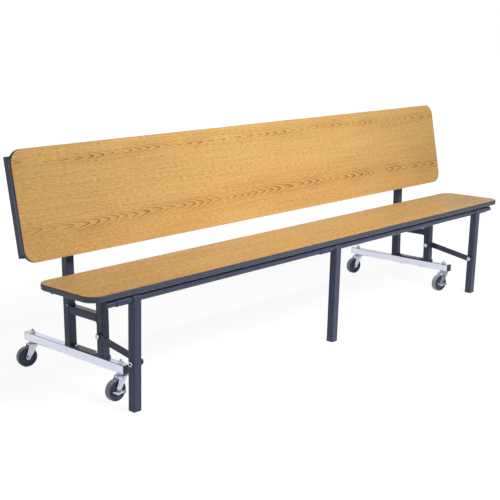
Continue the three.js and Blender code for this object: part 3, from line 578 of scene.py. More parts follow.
def add(tree, kind, settings=None, **sockets):
    """New shader node, with its settings and its named inputs."""
    node = tree.nodes.new(f"ShaderNode{kind}")
    for name, value in (settings or {}).items():
        setattr(node, name, value)
    for name, value in sockets.items():
        feed(tree, node.inputs[name.replace("_", " ")], value)
    return node


def maths(tree, operation, *values):
    """Math node on up to three values."""
    node = add(tree, "Math", {"operation": operation})
    for socket, value in zip(node.inputs, values):
        feed(tree, socket, value)
    return node.outputs[0]


def share_of(tree, mask, share):
    """Mask held down to a share of itself."""
    return maths(tree, "MULTIPLY", mask, share)


def noise(tree, vector, name):
    """One of the noises, carried to its own range."""
    cells, detail, counts, becomes = NOISES[name]
    stretch = add(tree, "VectorMath", {"operation": "MULTIPLY"})
    feed(tree, stretch.inputs[0], vector)
    feed(tree, stretch.inputs[1], cells)
    grains = add(tree, "TexNoise", Vector=stretch.outputs[0], Scale=1.0, Detail=detail).outputs[0]
    return spread(tree, grains, counts, becomes)


def spread(tree, value, counts=UNIT, becomes=UNIT):
    """Value carried from one range to another, and held inside it."""
    limits = {"From_Min": counts[0], "From_Max": counts[1], "To_Min": becomes[0], "To_Max": becomes[1]}
    return add(tree, "MapRange", Value=value, **limits).outputs[0]


def blend(tree, factor, first, second, kind="FLOAT"):
    """Mix of two values or two colours."""
    node = add(tree, "Mix", {"data_type": kind})
    low, high, result = MIX_SOCKETS[kind]
    for index, value in ((0, factor), (low, first), (high, second)):
        feed(tree, node.inputs[index], value)
    return node.outputs[result]


def tint(tree, factor, first, second):
    """Mix of two colours."""
    return blend(tree, factor, first, second, "RGBA")


def new_group(name, inputs, outputs):
    """Shader node group with named sockets; returns its tree and the two sets of sockets inside it."""
    tree = bpy.data.node_groups.new(name, "ShaderNodeTree")
    for label, kind in inputs:
        tree.interface.new_socket(label, in_out="INPUT", socket_type=f"NodeSocket{kind}")
    for label, kind in outputs:
        tree.interface.new_socket(label, in_out="OUTPUT", socket_type=f"NodeSocket{kind}")
    entry = tree.nodes.new("NodeGroupInput")
    leave = tree.nodes.new("NodeGroupOutput")
    return tree, entry.outputs, leave.inputs


def use_group(tree, name, **sockets):
    """A node group placed in a material, with its own values."""
    node = tree.nodes.new("ShaderNodeGroup")
    node.node_tree = bpy.data.node_groups[name]
    for label, value in sockets.items():
        feed(tree, node.inputs[label.replace("_", " ")], value)
    return node.outputs


def empty_tree(owner):
    """Node tree of a material or a world, with nothing in it."""
    owner.use_nodes = True
    owner.node_tree.nodes.clear()
    return owner.node_tree


def show(tree, shader, kind="OutputMaterial"):
    """Sends a shader to its tree's output."""
    tree.links.new(shader.outputs[0], add(tree, kind).inputs["Surface"])


def scaled(tone, factor):
    """Colour made lighter or darker."""
    return [min(1, part * factor) for part in tone]


def new_material(name, **sockets):
    """Material with a shader, its object coordinates and its marks of use."""
    marks = MARKS[name]
    tree = empty_tree(bpy.data.materials.new(name))
    shader = add(tree, "BsdfPrincipled", **sockets)
    show(tree, shader)
    spot = add(tree, "TexCoord").outputs["Object"]
    sizes = {"Smudge_size": marks.smudge_size, "Texture_size": marks.texture_size}
    used = use_group(tree, "Handling", Vector=spot, **sizes)
    return Material(tree, shader, spot, used["Smudge"], used["Texture"], marks)


def coat(new, tone, height, *layers):
    """Colour, bump and roughness of a material; each layer is a mask and the roughness that it adds."""
    tree, inputs = new.tree, new.shader.inputs
    rough = new.marks.rough
    for mask, share in ((new.smudge, new.marks.smear), *layers):
        rough = maths(tree, "MULTIPLY_ADD", mask, share, rough)
    bump = add(tree, "Bump", Height=height, Distance=new.marks.depth, Strength=1.0)
    for label, value in (("Base Color", tone), ("Roughness", rough), ("Normal", bump.outputs[0])):
        feed(tree, inputs[label], value)


def oak_grain_group():
    """Oak figure: arched growth lines in two bands, fine streaks and short pores."""
    names = ("Pitch", "Figure", "Upper band", "Upper width", "Lower band", "Lower width", "Fineness")
    inputs = [("Vector", "Vector"), ("Ground", "Color"), ("Line", "Color")]
    inputs += [(name, "Float") for name in names]
    tree, given, out = new_group("Oak grain", inputs, [("Color", "Color"), ("Pores", "Float")])
    spot = given["Vector"]
    split = add(tree, "SeparateXYZ", Vector=spot).outputs
    narrow = maths(tree, "MULTIPLY", split["Y"], given["Fineness"])
    fibre = add(tree, "CombineXYZ", X=split["X"], Y=narrow).outputs[0]
    along = maths(tree, "ADD", split["X"], noise(tree, spot, "sway"))
    along = maths(tree, "DIVIDE", along, given["Pitch"])
    across = maths(tree, "ADD", split["Y"], noise(tree, spot, "drift"))
    rises = []
    for band in ("Upper", "Lower"):
        away = maths(tree, "SUBTRACT", across, given[f"{band} band"])
        away = maths(tree, "ABSOLUTE", maths(tree, "DIVIDE", away, given[f"{band} width"]))
        rises.append(maths(tree, "POWER", away, ARCH_POWER))
    rise = maths(tree, "MINIMUM", *rises)
    phase = maths(tree, "ADD", maths(tree, "ADD", along, rise), noise(tree, spot, "quiver"))
    ring = maths(tree, "FRACT", phase)
    line = maths(tree, "MULTIPLY_ADD", ring, LINE_GROUND, maths(tree, "POWER", ring, LINE_POWER))
    near = maths(tree, "POWER", maths(tree, "MULTIPLY_ADD", rise, FADE_RATE, 1.0), FADE_POWER)
    wear = maths(tree, "MULTIPLY", noise(tree, spot, "patch"), noise(tree, spot, "broken"))
    figure = maths(tree, "MULTIPLY", maths(tree, "MULTIPLY", line, near), given["Figure"])
    figure = maths(tree, "MULTIPLY", figure, wear)
    pores = noise(tree, spot, "pores")
    tone = maths(tree, "MULTIPLY_ADD", pores, PORE_TONE, figure)
    for vector, name in ((fibre, "dashes"), (fibre, "streak"), (spot, "cloud")):
        tone = maths(tree, "ADD", tone, noise(tree, vector, name))
    held = spread(tree, tone)
    feed(tree, out["Color"], tint(tree, held, given["Ground"], given["Line"]))
    feed(tree, out["Pores"], pores)


def handling_group():
    """Marks of use: broad smudges and a fine surface texture."""
    inputs = [("Vector", "Vector"), ("Smudge size", "Float"), ("Texture size", "Float")]
    outputs = [("Smudge", "Float"), ("Texture", "Float")]
    tree, given, out = new_group("Handling", inputs, outputs)
    noises = []
    for size, detail in (("Smudge size", SMUDGE_DETAIL), ("Texture size", TEXTURE_DETAIL)):
        scale = maths(tree, "DIVIDE", 1.0, given[size])
        noises.append(add(tree, "TexNoise", Vector=given["Vector"], Scale=scale, Detail=detail).outputs[0])
    feed(tree, out["Smudge"], spread(tree, noises[0], SMUDGE_COUNTS))
    feed(tree, out["Texture"], noises[1])


def edge_wear_group():
    """Mask of the edges that are rubbed in use."""
    inputs = [("Vector", "Vector"), ("Radius", "Float")]
    tree, given, out = new_group("Edge wear", inputs, [("Mask", "Float")])
    soft = add(tree, "Bevel", {"samples": WEAR_SAMPLES}, Radius=given["Radius"])
    true = add(tree, "NewGeometry")
    alike = add(tree, "VectorMath", {"operation": "DOT_PRODUCT"})
    feed(tree, alike.inputs[0], soft.outputs[0])
    feed(tree, alike.inputs[1], true.outputs["Normal"])
    edge = spread(tree, alike.outputs["Value"], EDGE_COSINES)
    feed(tree, out["Mask"], maths(tree, "MULTIPLY", edge, noise(tree, given["Vector"], "rubbed")))


def floor_dust_group():
    """Mask of dust that thins out above the floor."""
    inputs = [("Vector", "Vector"), ("Reach", "Float")]
    tree, given, out = new_group("Floor dust", inputs, [("Mask", "Float")])
    height = add(tree, "SeparateXYZ", Vector=given["Vector"]).outputs["Z"]
    low = spread(tree, maths(tree, "DIVIDE", height, given["Reach"]), becomes=UNIT[::-1])
    feed(tree, out["Mask"], maths(tree, "MULTIPLY", low, noise(tree, given["Vector"], "dust")))


def laminate(name, finishes, turn, node, **figure):
    """Oak laminate on a board: the grain runs along the bench."""
    new = new_material(name, Specular_IOR_Level=0.16)
    low, high = local_box(node, turn)
    middle = turn @ ((low + high) / 2)
    lift = turn.to_3x3() @ Vector((0, 1, 0))
    level = (math.atan2(-lift.z, lift.y), 0, 0)
    mapping = add(new.tree, "Mapping", Vector=new.spot, Rotation=level, Location=(0, -lift.dot(middle), 0))
    colours = {"Ground": finishes.oak_ground, "Line": finishes.oak_line}
    grain = use_group(new.tree, "Oak grain", Vector=mapping.outputs[0], **colours, **figure)
    height = maths(new.tree, "SUBTRACT", new.texture, grain["Pores"])
    coat(new, grain["Color"], height, (grain["Pores"], PORE_ROUGH))


def backer_sheet(finishes):
    """Plain hidden sheet behind the boards."""
    new = new_material("Backer sheet")
    fibre = noise(new.tree, new.spot, "backing")
    mottle = share_of(new.tree, maths(new.tree, "ADD", fibre, new.smudge), BACKER_MOTTLE)
    coat(new, tint(new.tree, mottle, finishes.backer, scaled(finishes.backer, BACKER_PALE)), fibre)


def edge_vinyl(finishes):
    """Charcoal vinyl with a fine pebble and pale scuffs."""
    new = new_material("Edge vinyl", Specular_IOR_Level=0.4)
    scuff = noise(new.tree, new.spot, "scuff")
    coat(new, tint(new.tree, scuff, finishes.vinyl, finishes.bare_steel), new.texture)


def frame_paint(finishes):
    """Satin powder coat, rubbed at its edges and dusty near the floor."""
    new = new_material("Frame paint", Specular_IOR_Level=0.24)
    tree = new.tree
    worn = use_group(tree, "Edge wear", Vector=new.spot, Radius=PAINT_WEAR_WIDTH)["Mask"]
    dusty = use_group(tree, "Floor dust", Vector=new.spot, Reach=PAINT_DUST_REACH)["Mask"]
    tone = tint(tree, new.smudge, finishes.paint, scaled(finishes.paint, PAINT_DEEP))
    tone = tint(tree, share_of(tree, worn, PAINT_WEAR), tone, finishes.bare_steel)
    tone = tint(tree, share_of(tree, dusty, PAINT_DUST), tone, finishes.dust)
    coat(new, tone, new.texture, (dusty, DUST_ROUGH))


def bright_chrome(finishes):
    """Chrome plate with faint drawing lines and smudges."""
    new = new_material("Bar chrome", Metallic=1.0)
    drawn = noise(new.tree, new.spot, "drawn")
    tone = tint(new.tree, new.smudge, finishes.chrome, scaled(finishes.chrome, CHROME_DEEP))
    coat(new, tone, drawn, (drawn, DRAWN_ROUGH))


def zinc_plate(finishes):
    """Bright zinc plate with a faint crystal mottle."""
    new = new_material("Zinc plate", Metallic=1.0)
    crystal = add(new.tree, "TexVoronoi", Vector=new.spot, Scale=CRYSTAL_CELLS).outputs["Distance"]
    tone = tint(new.tree, new.smudge, finishes.zinc, scaled(finishes.zinc, ZINC_DEEP))
    coat(new, tone, new.texture, (crystal, CRYSTAL_ROUGH))


def moulded_plastic(name, shade_of, finishes, reach):
    """Moulded plastic or rubber with a fine texture and dust near the floor."""
    new = new_material(name, Specular_IOR_Level=0.4)
    tree = new.tree
    dusty = use_group(tree, "Floor dust", Vector=new.spot, Reach=reach)["Mask"]
    tone = tint(tree, share_of(tree, new.smudge, PLASTIC_SMUDGE), shade_of, scaled(shade_of, PLASTIC_PALE))
    tone = tint(tree, share_of(tree, dusty, PLASTIC_DUST), tone, finishes.dust)
    coat(new, tone, new.texture)


def white_floor():
    """Pale floor that shows white to the camera and keeps the object's shadow."""
    material = bpy.data.materials.new("Studio floor")
    tree = empty_tree(material)
    spot = add(tree, "TexCoord").outputs["Object"]
    bounce = add(tree, "BsdfDiffuse", Color=noise(tree, spot, "ground"))
    shadow = add(tree, "BsdfDiffuse", Color=SHADOW_GREY)
    away = add(tree, "VectorMath", {"operation": "LENGTH"})
    feed(tree, away.inputs[0], spot)
    bright = spread(tree, away.outputs["Value"], GROUND_REACH, GROUND_GLOW)
    glow = add(tree, "Emission", Color=WHITE, Strength=bright)
    shown = add(tree, "AddShader")
    mix = add(tree, "MixShader", Fac=seen_rays(tree))
    for node, sources in ((shown, (shadow, glow)), (mix, (bounce, shown))):
        for source, socket in zip(sources, node.inputs[-2:]):
            tree.links.new(source.outputs[0], socket)
    show(tree, mix)
    return material


def seen_rays(tree):
    """One for rays that the camera sees, straight on or in a reflection."""
    rays = add(tree, "LightPath").outputs
    seen = maths(tree, "MAXIMUM", rays["Is Camera Ray"], rays["Is Glossy Ray"])
    return maths(tree, "MAXIMUM", seen, rays["Is Transmission Ray"])


def white_room(stage):
    """World that looks white and lights the bench softly."""
    world = bpy.data.worlds.new("White room")
    tree = empty_tree(world)
    upward = add(tree, "TexCoord").outputs["Generated"]
    upward = add(tree, "SeparateXYZ", Vector=upward).outputs["Z"]
    wall = spread(tree, upward, CEILING_COUNTS, (1.0, stage.ceiling))
    strength = blend(tree, seen_rays(tree), stage.room_light, wall)
    show(tree, add(tree, "Background", Color=WHITE, Strength=strength), "OutputWorld")
    return world


# Pieces
def add_boards(sizes):
    """Laminate boards with a backer sheet, and the vinyl edge moulds round them."""
    nose = arc(0, 0, 1, QUARTER, 0, NOSE_STEPS)
    nose = [(sizes.mould_nose * (out - 1), sizes.mould_round * (1 - up)) for out, up in nose]
    face = sizes.mould_face
    ease = 2 * sizes.mould_ease
    boards = [("seat", UPRIGHT, sizes.seat_corner, 0)]
    boards += [("back", BACK_FACE, sizes.back_corner, sizes.sheet_lap)]
    for board, turn, corner, lap in boards:
        place, size = footprint(f"{board}_board", turn)
        core = size.z - sizes.sheet
        outline = rounded_rect(size.x, size.y, corner, BOARD_STEPS)
        mesh = bmesh.new()
        plate(mesh, outline, core, place, sizes.board_edge)
        plate(mesh, offset(outline, lap), sizes.sheet, place @ shift(0, 0, core), sizes.board_edge)
        item = piece(f"{board}_laminate", mesh, f"{board.title()} laminate", board, f"{board}_board")
        item.data.materials.append(bpy.data.materials["Backer sheet"])
        hidden = place.to_3x3() @ Vector((0, 0, -1))
        for side in item.data.polygons:
            side.material_index = int(side.normal.dot(hidden) > DOWNWARD)

        place, size = footprint(f"{board}_edge_mould", turn)
        outer = rounded_rect(size.x - ease, size.y - ease, corner + face, BOARD_STEPS)
        top = size.z - sizes.sheet - sizes.joint_gap if lap else size.z
        upper = [(out, top - depth) for out, depth in nose]
        mesh = bmesh.new()
        sweep(mesh, outer, [(-face, top), *upper, *reversed(nose), (-face, 0)], place)
        piece(f"{board}_edging", mesh, "Edge vinyl", board, f"{board}_edge_mould")


def add_rails(sizes):
    """Round rails with plugged ends, the straps that hold them under the seat, and the seat's stops."""
    edge = sizes.steel_edge
    for node, body in (("front_rail", "legs"), ("hinge_rail", "frame")):
        place, size = footprint(node, ALONG_X)
        radius = size.x / 2
        bore = radius - sizes.tube_wall
        near = [(0, sizes.rail_plug), (bore, sizes.rail_plug), (bore, 0), (radius - edge, 0), (radius, edge)]
        far = [(across, size.z - depth) for across, depth in reversed(near)]
        mesh = bmesh.new()
        turned(mesh, near + far, place, ROUND_STEPS)
        cover(node, "tube", mesh, "Frame paint", body)

    screws = bmesh.new()
    for kind, joint in (("front", "leg_fold"), ("hinge", "seat_fold")):
        axis = PIVOTS[joint]
        for spot in PLACES:
            node = f"{kind}_saddle_{spot}"
            low, high = local_box(node, ALONG_X)
            outer = axis.z - low.y
            inner = outer - sizes.strap_steel
            top = high.y - axis.z
            under = top - sizes.strap_steel
            front = low.x - axis.y
            rear = high.x - axis.y
            lips = [high.x - (rear - outer) / 2]
            start = QUARTER if kind == "front" else 2 * QUARTER
            outline = arc(0, 0, outer, start, 4 * QUARTER, ROUND_STEPS)
            outline += [(outer, under), (rear, under), (rear, top), (inner, top)]
            outline += arc(0, 0, inner, 4 * QUARTER, start, ROUND_STEPS)
            if kind == "hinge":
                lips.append(low.x - (front + outer) / 2)
                outline += [(-inner, top), (front, top), (front, under), (-outer, under)]
            mesh = bmesh.new()
            plate(mesh, outline, high.z - low.z, ALONG_X @ shift(axis.y, axis.z, low.z), edge)
            cover(node, "strap", mesh, "Frame paint", "seat")
            for y in lips:
                for share in SADDLE_SCREWS:
                    x = low.z + (high.z - low.z) * share
                    head = shift(x, y, axis.z + under) @ FACING_DOWN
                    pan_screw(screws, sizes.screw_radius, sizes.screw_height, head)
    piece("seat_screws", screws, "Zinc plate", "seat")

    stops = bmesh.new()
    low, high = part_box("seat_board")
    for x in (low.x + sizes.stop_inset, high.x - sizes.stop_inset):
        place = shift(x, PIVOTS["seat_fold"].y, low.z) @ FACING_DOWN
        plate(stops, circle(sizes.stop_radius, SMALL_STEPS), sizes.stop_height, place, sizes.plastic_edge)
    piece("seat_stops", stops, "Black plastic", "seat")


def round_topped(mesh, node, turn, sizes):
    """Square tube on end, with its top rounded about the pivot."""
    place, size = footprint(node, turn)
    half = size.y / 2
    levels = [(0.0, 0.0)]
    levels += [(size.z - half * (1 - math.sin(bend)), bend) for bend in ROUND_TOP_TURNS]
    rings = []
    for height, bend in levels:
        depth = size.y * math.cos(bend)
        corner = min(sizes.tube_corner, depth / 2 - sizes.steel_edge / 2)
        rings.append([(x, y, height) for x, y in rounded_rect(size.x, depth, corner, TUBE_STEPS)])
    loft(mesh, rings, place)


def square_tube(mesh, node, turn, sizes):
    """Square tube along a turned frame."""
    place, size = footprint(node, turn)
    outline = rounded_rect(size.x, size.y, sizes.tube_corner, TUBE_STEPS)
    plate(mesh, outline, size.z, place, sizes.steel_edge)
    return place, size, outline


def add_legs(sizes):
    """Front legs with their glides and the weld beads where the rail goes through."""
    rail_radius = footprint("front_rail", ALONG_X)[1].x / 2
    edge = sizes.plastic_edge
    bend = edge / SOLE_EASE
    beads = bmesh.new()
    for spot in PLACES:
        mesh = bmesh.new()
        round_topped(mesh, f"leg_{spot}", LEGS, sizes)
        cover(f"leg_{spot}", "tube", mesh, "Frame paint", "legs")
        low, high = local_box(f"leg_{spot}", LEGS)
        for x in (low.x, high.x):
            place = ALONG_X @ shift(RAIL_SPOT.y, RAIL_SPOT.z, x)
            weld(beads, circle(rail_radius, ROUND_STEPS), place, sizes)

        middle = (low + high) / 2
        outline = rounded_rect(high.x - low.x, high.y - low.y, sizes.tube_corner, TUBE_STEPS)
        sole = []
        for inset, lift in ((-edge, 0), (-bend, bend), (0, edge)):
            ring = []
            for x, y in offset(outline, inset):
                floor = -(RAIL_SPOT.z + y * math.sin(LEG_LEAN)) / math.cos(LEG_LEAN)
                ring.append((middle.x + x, y, floor + lift))
            sole.append(ring)
        sole.append([(middle.x + x, y, low.z - sizes.joint_gap) for x, y in outline])
        mesh = bmesh.new()
        loft(mesh, sole, LEGS)
        cover(f"leg_glide_{spot}", "foot", mesh, "Black plastic", "legs")
    piece("leg_welds", beads, "Frame paint", "legs")


def add_end_frames(sizes):
    """Uprights, cross-pieces and base plates, with their weld beads and bolts."""
    beads = bmesh.new()
    bolts = bmesh.new()
    inset = sizes.bar_bolt_inset
    tip = sizes.bar_bolt_flats / BAR_TIP_SHARE
    tip_profile = [(tip * out, tip * up) for out, up in BOLT_TIP]
    for side, sign in SIDES.items():
        for end, make in (("rear", round_topped), ("front", square_tube)):
            node = f"{end}_upright_{side}"
            mesh = bmesh.new()
            make(mesh, node, UPRIGHT, sizes)
            cover(node, "tube", mesh, "Frame paint", "frame")
            place, size = footprint(node, UPRIGHT)
            weld(beads, rounded_rect(size.x, size.y, sizes.tube_corner, TUBE_STEPS), place, sizes)

        mesh = bmesh.new()
        place, size, outline = square_tube(mesh, f"cross_piece_{side}", ALONG_Y, sizes)
        cover(f"cross_piece_{side}", "tube", mesh, "Frame paint", "frame")
        for depth in (0, size.z):
            weld(beads, outline, place @ shift(0, 0, depth), sizes)

        mesh = eased(f"base_plate_{side}", sizes.steel_edge)
        cover(f"base_plate_{side}", "strip", mesh, "Frame paint", "frame")

        bar_low, bar_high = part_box(f"caster_bar_{side}")
        plate_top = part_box(f"base_plate_{side}")[1].z
        x = (bar_low.x + bar_high.x) / 2
        for y in (PIVOTS["seat_fold"].y + inset, PIVOTS["back_flip"].y - inset):
            nut = shift(x, y, bar_low.z) @ FACING_DOWN
            for place in (shift(x, y, plate_top), nut):
                hex_nut(bolts, sizes.bar_bolt_flats, sizes.bar_bolt_head, place)
            turned(bolts, tip_profile, nut, SMALL_STEPS)
        post_low, post_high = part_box(f"rear_upright_{side}")
        outer_x = post_high.x if sign > 0 else post_low.x
        head = shift(outer_x, post_low.y + 2 * sizes.stud_radius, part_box(f"cross_piece_{side}")[1].z)
        head = head @ Matrix.Rotation(sign * QUARTER, 4, "Y")
        pan_screw(bolts, sizes.stud_radius, sizes.screw_height, head)
    piece("frame_welds", beads, "Frame paint", "frame")
    piece("bar_bolts", bolts, "Zinc plate", "frame")


def add_caster_bars(sizes):
    """Chrome bars with plastic caps in their ends."""
    for side in SIDES:
        mesh = bmesh.new()
        square_tube(mesh, f"caster_bar_{side}", ALONG_Y, sizes)
        cover(f"caster_bar_{side}", "tube", mesh, "Bar chrome", "frame")
        bar_low, bar_high = local_box(f"caster_bar_{side}", ALONG_Y)
        for end in ("front", "rear"):
            node = f"bar_cap_{end}_{side}"
            cap_low, cap_high = local_box(node, ALONG_Y)
            start, finish = (cap_low.z, bar_low.z) if end == "front" else (bar_high.z, cap_high.z)
            middle = (cap_low + cap_high) / 2
            wide = cap_high - cap_low
            outline = rounded_rect(wide.x, wide.y, sizes.tube_corner, TUBE_STEPS)
            lip = finish - start
            mesh = bmesh.new()
            plate(mesh, outline, lip, ALONG_Y @ shift(middle.x, middle.y, start), lip / CAP_EASE)
            cover(node, "lip", mesh, "Black plastic", "frame")


def through_bolt(node, sizes):
    """Bolt along the bench, with a hexagon head, a nut and the thread's end."""
    mesh = bmesh.new()
    place, size = footprint(node, ALONG_X)
    radius = sizes.bolt_radius
    tip = sizes.bolt_head / TIP_SHARE
    hex_nut(mesh, sizes.bolt_flats, sizes.bolt_head, place)
    other = far_end(place, size)
    hex_nut(mesh, sizes.bolt_flats, sizes.bolt_head - tip, other @ shift(0, 0, tip))
    shank = [(0, 0), (radius * TIP_EASE, 0), (radius, tip), (radius, size.z - tip), (0, size.z - tip)]
    turned(mesh, shank, other, SMALL_STEPS)
    cover(node, "set", mesh, "Zinc plate", "frame")


def add_links(sizes):
    """Flat links with their weld nuts and pivot bolts."""
    radius = sizes.bolt_radius
    nut_height = sizes.bolt_head
    for side, sign in SIDES.items():
        upper = PIVOTS[f"{side}_link_fold"]
        bolt_low, bolt_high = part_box(f"link_lower_bolt_{side}")
        lower = (bolt_low + bolt_high) / 2
        reach = Vector((lower.y - upper.y, lower.z - upper.z))
        along = reach.normalized()
        turn = Matrix(((0, 0, 1, 0), (along.x, -along.y, 0, 0), (along.y, along.x, 0, 0), (0, 0, 0, 1)))
        link_low, link_high = local_box(f"link_{side}", turn)
        thickness = link_high.z - link_low.z - nut_height
        inner = link_low.z + nut_height if sign > 0 else link_low.z
        pivot = turn.inverted() @ upper
        place = turn @ shift(pivot.x, pivot.y, inner)
        mesh = bmesh.new()
        plate(mesh, stadium(reach.length, sizes.link_half, SMALL_STEPS), thickness, place, sizes.steel_edge)
        cover(f"link_{side}", "bar", mesh, "Frame paint", f"{side}_link")
        nut = place @ shift(reach.length, 0, 0)
        nut = nut @ FACING_DOWN if sign > 0 else nut @ shift(0, 0, thickness)
        mesh = bmesh.new()
        hex_nut(mesh, sizes.bolt_flats, nut_height, nut)
        piece(f"link_{side}_nut", mesh, "Zinc plate" if sign > 0 else "Frame paint", f"{side}_link")
        through_bolt(f"link_upper_bolt_{side}", sizes)

        node = f"link_lower_bolt_{side}"
        place, size = footprint(node, ALONG_X)
        outside = place if sign < 0 else far_end(place, size)
        mesh = bmesh.new()
        hex_nut(mesh, sizes.bolt_flats, sizes.bolt_head, outside)
        leg_low, leg_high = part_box(f"leg_{side}")
        sleeve = leg_low.x - bolt_low.x if sign > 0 else bolt_high.x - leg_high.x
        turned(mesh, [(0, 0), (radius, 0), (radius, size.z), (0, size.z)], outside, SMALL_STEPS)
        start = outside @ shift(0, 0, size.z - sleeve)
        plate(mesh, circle(sizes.sleeve_radius, SMALL_STEPS), sleeve, start, sizes.steel_edge)
        cover(node, "set", mesh, "Zinc plate", "legs")


def add_back_hardware(sizes):
    """Brackets and end channels behind the back, with their bolts and screws."""
    screws = bmesh.new()
    inset = 2 * sizes.screw_radius
    for side in SIDES:
        for kind in ("bracket", "channel"):
            node = f"back_{kind}_{side}"
            cover(node, "steel", eased(node, sizes.steel_edge), "Frame paint", "back")
        through_bolt(f"back_pivot_bolt_{side}", sizes)

        low, high = local_box(f"back_bracket_{side}", BACK)
        web = low.y + sizes.bracket_steel
        spots = [(x, z) for x in (low.x + inset, high.x - inset) for z in (low.z + inset, high.z - inset)]
        low, high = local_box(f"back_channel_{side}", BACK)
        spots += [((low.x + high.x) / 2, low.z + (high.z - low.z) * share) for share in CHANNEL_SCREWS]
        for x, z in spots:
            head = BACK @ shift(x, web, z) @ ALONG_Y
            pan_screw(screws, sizes.screw_radius, sizes.screw_height, head)
    piece("back_screws", screws, "Zinc plate", "back")


def add_stem(corner, sizes):
    """Caster stem: rivet through the fork, ball race under the bar, and a dome nut on top of it."""
    node = f"caster_stem_{corner}"
    low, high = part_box(node)
    bar_low, bar_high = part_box(f"caster_bar_{corner.split('_')[1]}")
    fork_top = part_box(f"caster_fork_{corner}")[1].z
    x = (low.x + high.x) / 2
    y = (low.y + high.y) / 2
    place = shift(x, y, 0)
    race = sizes.race_radius
    seat = fork_top + sizes.play
    tall = bar_low.z - seat
    mesh = bmesh.new()
    turned(mesh, [(race * out, seat + tall * up) for out, up in RACE_CUP], place, ROUND_STEPS)
    rivet = race / 2
    stem = sizes.stem_radius
    under = fork_top - sizes.fork_plate - sizes.play
    shaft = [(0, low.z), (rivet * TIP_EASE, low.z), (rivet, low.z + rivet / TIP_SHARE), (rivet, under)]
    turned(mesh, [*shaft, (stem, under), (stem, bar_low.z), (0, bar_low.z)], place, SMALL_STEPS)
    base = shift(x, y, bar_high.z)
    hex_nut(mesh, sizes.nut_flats, sizes.nut_height, base)
    start = sizes.nut_height * DOME_SEAT
    tall = high.z - bar_high.z - start
    crown = arc(0, 0, 1, 0, QUARTER, NOSE_STEPS)[:-1]
    dome = [(sizes.nut_dome * out, start + tall * up) for out, up in crown]
    turned(mesh, [(0, 0), (sizes.nut_dome, 0), *dome, (0, start + tall)], base, SMALL_STEPS)
    cover(node, "set", mesh, "Zinc plate", "frame")


def add_fork(corner, sizes):
    """Caster fork: round top, two ribbed arms, and the axle with its nuts."""
    node = f"caster_fork_{corner}"
    home = caster_frame(corner)
    low, high = local_box(node, home)
    wheel_high = local_box(f"caster_wheel_{corner}", home)[1]
    axle = home.inverted() @ PIVOTS[f"{corner}_wheel_spin"]
    foot = sizes.fork_foot
    steel = sizes.fork_steel
    rise = sizes.rib_height
    under = high.z - sizes.fork_plate
    lip = sizes.fork_plate / FORK_LIP
    hole = sizes.stem_radius + sizes.play
    rim = sizes.fork_radius
    top = [(hole, under), (rim - lip, under), (rim, under + lip)]
    top += [(rim, high.z - lip), (rim - 2 * lip, high.z), (hole, high.z)]
    mesh = bmesh.new()
    turned(mesh, top, home, ROUND_STEPS, loop=True)
    crown = (under + high.z) / 2
    outline = [(sizes.fork_shoulder, crown), (-sizes.fork_heel, crown)]
    outline += arc(axle.x, axle.z, foot, 2 * QUARTER, ARM_FOOT_END, SMALL_STEPS)
    rib_start = -sizes.fork_heel / RIB_START
    slope = Vector((axle.x - rib_start, axle.z - under + 2 * foot))
    rib_turn = Matrix.Rotation(math.atan2(slope.y, slope.x), 4, "Z")
    rib_bar = stadium(slope.length - foot, foot / RIB_WIDTH, NOSE_STEPS)
    inside = wheel_high.y + sizes.fork_gap
    outside = inside + steel
    for arm_y, rib_y in ((-inside, -outside), (outside, outside + rise)):
        plate(mesh, outline, steel, home @ shift(0, arm_y, 0) @ FACING_FRONT, steel / ARM_EASE)
        rib = home @ shift(0, rib_y, 0) @ FACING_FRONT
        rib = rib @ shift(rib_start, under - foot / 2, 0) @ rib_turn
        plate(mesh, rib_bar, rise, rib, rise / RIB_EASE)
    near = home @ shift(axle.x, high.y, axle.z) @ FACING_FRONT
    span = high.y - low.y
    radius = sizes.axle_radius
    turned(mesh, [(0, 0), (radius, 0), (radius, span), (0, span)], near, SMALL_STEPS)
    for along in (0, span - sizes.axle_nut):
        hex_nut(mesh, sizes.axle_flats, sizes.axle_nut, near @ shift(0, 0, along))
    cover(node, "steel", mesh, "Zinc plate", f"{corner}_swivel")


def add_wheel(corner, sizes):
    """Caster wheel: hub boss, recessed web, rim and a grooved tread."""
    node = f"caster_wheel_{corner}"
    home = caster_frame(corner)
    low, high = local_box(node, home)
    axle = home.inverted() @ PIVOTS[f"{corner}_wheel_spin"]
    half = (high.y - low.y) / 2
    outer = axle.z
    web = half - sizes.web_recess
    groove = sizes.tread_groove
    hub = sizes.hub_radius
    rim = sizes.rim_radius
    bend = sizes.tread_round
    side = [(sizes.axle_radius + groove / 2, half), (hub - groove, half), (hub, half - groove)]
    side += [(hub + groove, web + groove), (hub + 3 * groove, web), (rim - groove, web), (rim, web + groove)]
    side += [(rim + groove, half - groove), (rim + 2 * groove, half)]
    side += arc(outer - bend, half - bend, bend, QUARTER, 0, NOSE_STEPS)
    side += [(outer + groove * out, groove * along) for out, along in TREAD_GROOVE]
    profile = side + [(radius, -height) for radius, height in reversed(side)]
    mesh = bmesh.new()
    turned(mesh, profile, home @ Matrix.Translation(axle) @ FACING_FRONT, WHEEL_STEPS, loop=True)
    item = cover(node, "body", mesh, "Wheel side", f"{corner}_wheel")
    item.data.materials.append(bpy.data.materials["Wheel tread"])
    centre = home @ axle
    across = (home.to_3x3() @ Vector((0, 1, 0))).normalized()
    for face in item.data.polygons:
        arm = face.center - centre
        face.material_index = int((arm - across * arm.dot(across)).length > outer - bend / TREAD_EDGE)


def add_casters(sizes):
    """Four casters, without the brake levers."""
    for corner in CORNERS:
        add_stem(corner, sizes)
        add_fork(corner, sizes)
        add_wheel(corner, sizes)


